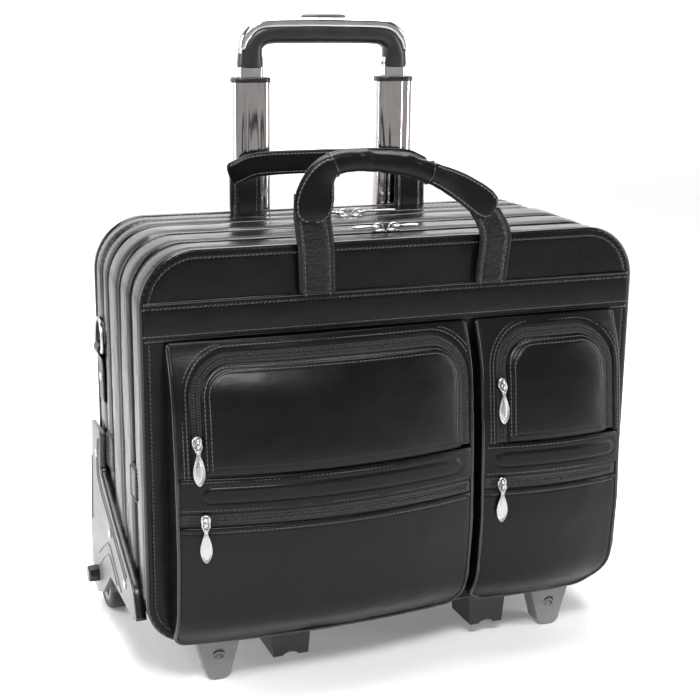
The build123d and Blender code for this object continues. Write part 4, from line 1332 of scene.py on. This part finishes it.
edge_xs = np.array([0, 0.3, 0.9, 1.8, 3, 4.5, 6.5, 8.5, 10.5, 11.3, 12, 12.7, 13.5, 15, 16.2, 17.4, 19])
xs = np.concatenate([-COVER_X + edge_xs, np.arange(-COVER_X + 22, COVER_X - 20, 3.0), COVER_X
                     - edge_xs[::-1]])
zs = np.concatenate([COVER_Z[0] + np.array([0, 0.4, 1.0, 2.0, 3.5, 5, 7, 9]), np.arange(62, COVER_Z[1] - 15,
                                                                                        3.5),
                     COVER_Z[1] - np.array([14, 13, 12, 11, 9, 6, 3, 1.2, 0.4, 0])])
rows = [[(x, cover_depth(x, z) - (1.2 * math.exp(-(COVER_Z[1] - z) / 0.6)), z) for x in xs] for z in zs]
cover = shell("trolley_cover_leather", rows, "leather", "rear_case", solid=1.8)
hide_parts("trolley_cover")
for side in (-1, 1):
    for off in (10.6, 16.2):
        line = [(side * (COVER_X - off), cover_depth(side * (COVER_X - off), z) + 0.75, z)
                for z in np.arange(60, COVER_Z[1] - 4, 3.0)]
        stitches(f"cover_stitches_{'l' if side < 0 else 'r'}_{int(off)}", line, (0, 1, 0), "rear_case")
line = [(x, cover_depth(x, COVER_Z[1] - 9) + 0.9, COVER_Z[1] - 9) for x in np.arange(-94, 95, 3.0)]
stitches("cover_stitches_top", line, (0, 1, 0), "rear_case")
top_rows = [[(x, d, COVER_Z[1] + 0.2 + ripple(x, d, 9, 0.3)) for x in np.linspace(-COVER_X + 4, COVER_X - 4,
                                                                                  80)]
            for d in np.linspace(COVER_D[0], COVER_D[0] + 1.2, 3)]
shell("cover_top_binding", top_rows, "piping", "rear_case", solid=1.2)
tube("cover_mouth_cord", [(x, cover_depth(x, COVER_Z[1] - 0.6), COVER_Z[1]) for x in np.arange(-COVER_X + 1,
                                                                                               COVER_X, 2.5)],
     1.6, "piping", "rear_case", False, 10, 2.5, 0.2)
for side in (-1, 1):
    tube(f"cover_side_cord_{'l' if side < 0 else 'r'}",
         [(side * (COVER_X + 0.6), COVER_D[0] + 0.9, z) for z in np.arange(COVER_Z[0], COVER_Z[1] + 0.1, 3)],
         1.3,
         "piping", "rear_case", False, 10, 3, 0.2)

# ------------------------------------------------------------------ trolley tubes, padded grip, cap strip
TUBE_X, TUBE_D = 71.0, 195.0


def tube_section(half_x, half_d, power, flutes):
    ring = []
    for a in circle(160):
        c, q = math.cos(a), math.sin(a)
        x = half_x * math.copysign(abs(c) ** (2 / power), c)
        d = half_d * math.copysign(abs(q) ** (2 / power), q)
        for f in flutes:
            d -= math.copysign(0.6, d) * math.exp(-((x - f) / 1.5) ** 2) * (abs(d) > half_d * 0.7)
        ring.append((x, d))
    return ring


def upright(name, x0, section, levels, look, body):
    """A straight upright of one section; levels are (z, grow) pairs."""
    rows = [[(x0 + x * grow, TUBE_D + d * grow, z) for x, d in section] for z, grow in levels]
    return ringed(name, rows, look, body, solid=0.9)


flutes = tube_section(17.3, 8.8, 3.6, (-7.0, 0.0, 7.0))
cap_ring = tube_section(18.0, 9.6, 3.6, ())
TUBE_ROWS = np.concatenate([[172, 172.3, 173], np.linspace(180, 486, 22), [492.8, 493.6, 494]])
for side, word in WORD.items():
    x0 = side * TUBE_X
    shaft = upright(f"{word}_middle_tube", x0, flutes, [(z, 1.0) for z in TUBE_ROWS], "tube",
                    "trolley_middle")
    levels = ((493.6, 0.98), (494.0, 1.0), (496.6, 1.0), (497.4, 0.97), (497.6, 0.9), (497.6, 0.72))
    cap = upright(f"{word}_middle_cap", x0, cap_ring, levels, "black", "trolley_middle")
    if side < 0:
        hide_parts("middle_tubes")
        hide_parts("middle_tube_caps")
    # Black flush discs on each tube's side: painted shade standing in for the dark insides of the lock holes.
    for k, z in enumerate((460.0, 474.0, 488.0)):
        rows = [[(x0 - 17.5 - out, TUBE_D + 1.9 * r * math.cos(a), z + 2.7 * r * math.sin(a))
                 for a in circle(20)]
                for r, out in ((1.25, -0.25), (1.2, -0.1), (1.0, -0.1), (0.85, -0.15), (0.05, -0.15))]
        ringed(f"{word}_lock_hole_shade_{k}", rows, "black", "trolley_middle")

GRIP_LINE = [(-71.2, 506.5), (-71.2, 512), (-70.8, 520), (-67.5, 529), (-60, 535), (-49, 537.2), (-25, 537.4),
             (0, 537.4), (25, 537.4), (49, 537.2), (60, 535), (67.5, 529), (70.8, 520), (71.2, 512),
             (71.2, 506.5)]
line = smooth_path([(x, TUBE_D, z) for x, z in GRIP_LINE], 9)
near_end = from_ends(len(line))
bar_w = np.interp(near_end, (0, 0.01, 0.05, 0.12, 0.2, 0.5), (10.5, 11.6, 12.0, 11.4, 9.4, 9.2))
bar_t = np.interp(near_end, (0, 0.01, 0.05, 0.2, 0.5), (7.6, 8.4, 8.6, 8.6, 8.6))
bar = loft("grip_pad", line, bar_w, bar_t, "rubber", "trolley_handle", 40, 2.6)
for v in bar.data.vertices:
    v.co = v.co + v.normal * (0.25 * noise.noise(Vector((v.co.x * 120, v.co.y * 50, v.co.z * 90))) * MM)
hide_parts("trolley_grip")
for k, x in enumerate((-30.0, 30.0)):
    ring = [(x, TUBE_D + 8.5 * math.sin(a), 537.4 + 9.2 * math.cos(a))
            for a in circle(36)]
    tube(f"grip_pad_seam_{k}", ring, 0.45, "rubber", "trolley_handle", True, 8, 1.6)
CAP_LINE = [(-80.0, 518), (-79.8, 525), (-77.0, 533), (-71.0, 540), (-62.5, 544.2), (-50, 545.8),
            (-25, 546.3),
            (0, 546.5), (25, 546.3), (50, 545.8), (62.5, 544.2), (71.0, 540), (77.0, 533), (79.8, 525),
            (80.0, 518)]
line = smooth_path([(x, TUBE_D, z) for x, z in CAP_LINE], 9)
near_end = from_ends(len(line))
strip_w = np.interp(near_end, (0, 0.02, 0.06, 0.15, 0.5), (0.6, 2.0, 3.6, 5.2, 5.8))
strip_t = np.interp(near_end, (0, 0.02, 0.06, 0.15, 0.5), (3.0, 6.4, 8.3, 9.1, 9.2))
cap_strip = loft("grip_bright_cap", line, strip_w, strip_t, "chrome", "trolley_handle", 40, 2.8)
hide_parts("grip_cap_strip")
rows = []
for scale, z in ((1.0, 551.0), (1.0, 552.6), (0.97, 553.6), (0.9, 554.3), (0.75, 554.8), (0.5, 555.0),
                 (0.2, 555.0),
                 (0.02, 555.0)):
    rows.append([(22.0 * scale * math.cos(a), TUBE_D + 5.6 * scale * math.sin(a), z)
                 for a in circle(48)])
button = ringed("release_button_lens", rows, "button", "release_button")
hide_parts("release_button")

# ------------------------------------------------------------------ feet: rim and recessed stud
for side, word in WORD.items():
    rows = []
    for r, out in ((6.6, 0.0), (6.1, 0.35), (5.5, 0.4), (4.8, 0.0), (4.4, -1.4), (4.0, -2.4), (3.4, -1.8),
                   (2.4, -0.9),
                   (1.0, -0.5), (0.05, -0.5)):
        rows.append([(side * 160 + r * math.cos(a), 7.0 - out * 0.8, 19.5 + r * math.sin(a))
                     for a in circle(32)])
    ringed(f"{word}_foot_stud", rows, "grey", "rear_case")

# ------------------------------------------------------------------ laptop pad, a quilted cushion
PAD_LOW, PAD_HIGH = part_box("laptop_pad")


def stuffed(name, low, high, cap, look, body):
    """A closed cushion from a box: remeshed, blown up a little by the cloth solver, its movement capped."""
    mesh = bpy.data.meshes.new(name)
    bm = bmesh.new()
    bmesh.ops.create_cube(bm, size=1.0)
    middle, size = (low + high) / 2, high - low
    for v in bm.verts:
        v.co = Vector(tuple(m + c * q for m, c, q in zip(middle, v.co, size)))
    bm.to_mesh(mesh)
    bm.free()
    obj = bpy.data.objects.new(name, mesh)
    bpy.context.scene.collection.objects.link(obj)
    bpy.context.view_layer.objects.active = obj
    remesh = obj.modifiers.new("remesh", "REMESH")
    remesh.mode = "VOXEL"
    remesh.voxel_size = 0.004
    bpy.ops.object.modifier_apply(modifier=remesh.name)
    start = np.array([v.co[:] for v in obj.data.vertices])
    group = obj.vertex_groups.new(name="held")
    for v, co in zip(obj.data.vertices, start):
        seam = abs((co[0] - middle[0]) % 0.063) < 0.0022 or co[1] > high[1] - 0.0015
        if seam:
            group.add([v.index], 1.0, "REPLACE")
    cloth = obj.modifiers.new("cloth", "CLOTH")
    cloth.settings.use_pressure = True
    cloth.settings.uniform_pressure_force = 4.0
    cloth.settings.effector_weights.gravity = 0.0
    cloth.settings.vertex_group_mass = group.name
    cloth.settings.quality = 4
    cloth.settings.tension_stiffness = 12
    cloth.settings.bending_stiffness = 0.2
    cloth.point_cache.frame_end = 20
    for step in range(1, 21):
        bpy.context.scene.frame_set(step)
    graph = bpy.context.evaluated_depsgraph_get()
    moved = np.array([v.co[:] for v in obj.evaluated_get(graph).data.vertices])
    obj.modifiers.remove(cloth)
    bpy.context.scene.frame_set(1)
    shift = np.nan_to_num(moved - start)
    reach = np.linalg.norm(shift, axis=1, keepdims=True)
    shift *= np.minimum(1.0, cap / np.maximum(reach, 1e-9))
    for v, co, d in zip(obj.data.vertices, start, shift):
        v.co = Vector(co + d)
    obj.data.polygons.foreach_set("use_smooth", [True] * len(obj.data.polygons))
    obj.data.materials.append(MATS[look])
    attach(obj, body)
    return obj


pad = stuffed("laptop_pad_cushion", np.array(PAD_LOW) + 0.001, np.array(PAD_HIGH) - 0.001, 0.004, "lining",
              "rear_case")
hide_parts("laptop_pad")

# ------------------------------------------------------------------ CAD parts shown as they are
def finish_node(node, look, edge=0.5):
    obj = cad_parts[node]
    obj.data.materials.clear()
    obj.data.materials.append(MATS[look])
    if edge:
        m = obj.modifiers.new("edge", "BEVEL")
        m.width = edge * MM
        m.segments = 2
        m.limit_method = "ANGLE"
        m.angle_limit = math.radians(35)
    for poly in obj.data.polygons:
        poly.use_smooth = True
    w = obj.modifiers.new("shade", "WEIGHTED_NORMAL")
    w.keep_sharp = True


for node, look, edge in (
        ("outer_tubes", "tube", 0.3), ("tube_collars", "black", 0.5), ("inner_tubes", "chrome", 0.3),
        ("button_spring", "steel", 0),
        ("wheel_housings", "housing", 0.8), ("screws_and_rivets", "steel", 0.3), ("axles", "steel", 0.3),
        ("axle_caps", "black", 0.4), ("wheel_bearings", "steel", 0.3), ("left_tyre", "tyre", 0.5),
        ("right_tyre", "tyre", 0.5), ("left_wheel_hub", "grey", 0.5), ("right_wheel_hub", "grey", 0.5),
        ("front_feet", "grey", 1.0), ("skid_blocks", "rubber", 1.0), ("base_board", "board", 0.5)):
    finish_node(node, look, edge)

# ------------------------------------------------------------------ floor, light, camera
ROOM = 6.0


def pale(name, tone, glow, rough=0.5):
    """Plain matt paint that glows a little."""
    mat, _, _, shader = new_material(name)
    shader.inputs["Base Color"].default_value = (tone, tone, tone, 1)
    shader.inputs["Roughness"].default_value = rough
    shader.inputs["Emission Color"].default_value = (1, 1, 1, 1)
    shader.inputs["Emission Strength"].default_value = glow
    return mat


def stage_plane(name, corners, look, turned=0):
    mesh = bpy.data.meshes.new(name)
    mesh.from_pydata(corners, [], [(0, 1, 2, 3)])
    mesh.materials.append(look)
    obj = bpy.data.objects.new(name, mesh)
    obj.rotation_euler = (0, 0, math.radians(turned))
    bpy.context.scene.collection.objects.link(obj)


def wall(y):
    return [(-ROOM, y, -1), (ROOM, y, -1), (ROOM, y, 5), (-ROOM, y, 5)]


stage_plane("floor", [(-ROOM, -ROOM, 0), (ROOM, -ROOM, 0), (ROOM, ROOM, 0), (-ROOM, ROOM, 0)],
            pale("floor_pale", 0.86, 0.12, 0.55))
stage_plane("backdrop", wall(3.2), pale("backdrop_white", 0.9, 0.95))
room_paint = pale("room_pale", 0.8, 0.0)
for turned in (90, 180, 270):
    stage_plane(f"room_wall_{turned}", wall(5.8), room_paint, turned)

world = bpy.data.worlds.new("studio")
bpy.context.scene.world = world
world.use_nodes = True
world.node_tree.nodes["Background"].inputs["Color"].default_value = (1, 1, 1, 1)
world.node_tree.nodes["Background"].inputs["Strength"].default_value = 0.06


def softbox(name, place, aim, size, power):
    light = bpy.data.lights.new(name, "AREA")
    light.shape = "RECTANGLE"
    light.size, light.size_y = size
    light.energy = power
    obj = bpy.data.objects.new(name, light)
    obj.location = place
    obj.rotation_euler = (Vector(aim) - Vector(place)).to_track_quat("-Z", "Y").to_euler()
    bpy.context.scene.collection.objects.link(obj)


softbox("softbox_left", (-1.5, 0.15, 0.75), (0, 0, 0.25), (0.4, 1.2), 18)
softbox("softbox_top", (0.1, 0.35, 1.7), (0, 0, 0.2), (1.4, 1.1), 52)
softbox("softbox_front", (-0.35, -1.35, 1.75), (0, 0, 0.25), (0.9, 0.4), 34)
softbox("softbox_right", (1.4, -0.75, 0.6), (0, 0, 0.25), (0.25, 1.2), 12)

SENSOR = 36
LENS = 70.69
CAMERA_AT = (-0.44876, -1.12193, 0.56949)
YAW, PITCH, ROLL = math.radians(21.283), math.radians(14.369), math.radians(0.688)
forward = Vector((math.sin(YAW) * math.cos(PITCH), math.cos(YAW) * math.cos(PITCH), -math.sin(PITCH)))
right0 = Vector((math.cos(YAW), -math.sin(YAW), 0))
up0 = right0.cross(forward)
right1 = right0 * math.cos(ROLL) + up0 * math.sin(ROLL)
up1 = up0 * math.cos(ROLL) - right0 * math.sin(ROLL)
camera_data = bpy.data.cameras.new("camera")
camera_data.sensor_width = SENSOR
camera_data.lens = LENS
camera = bpy.data.objects.new("camera", camera_data)
camera.matrix_world = Matrix.Translation(CAMERA_AT) @ Matrix((right1, up1, -forward)).transposed().to_4x4()
bpy.context.scene.collection.objects.link(camera)
bpy.context.scene.camera = camera
bpy.context.scene.view_settings.view_transform = "Standard"
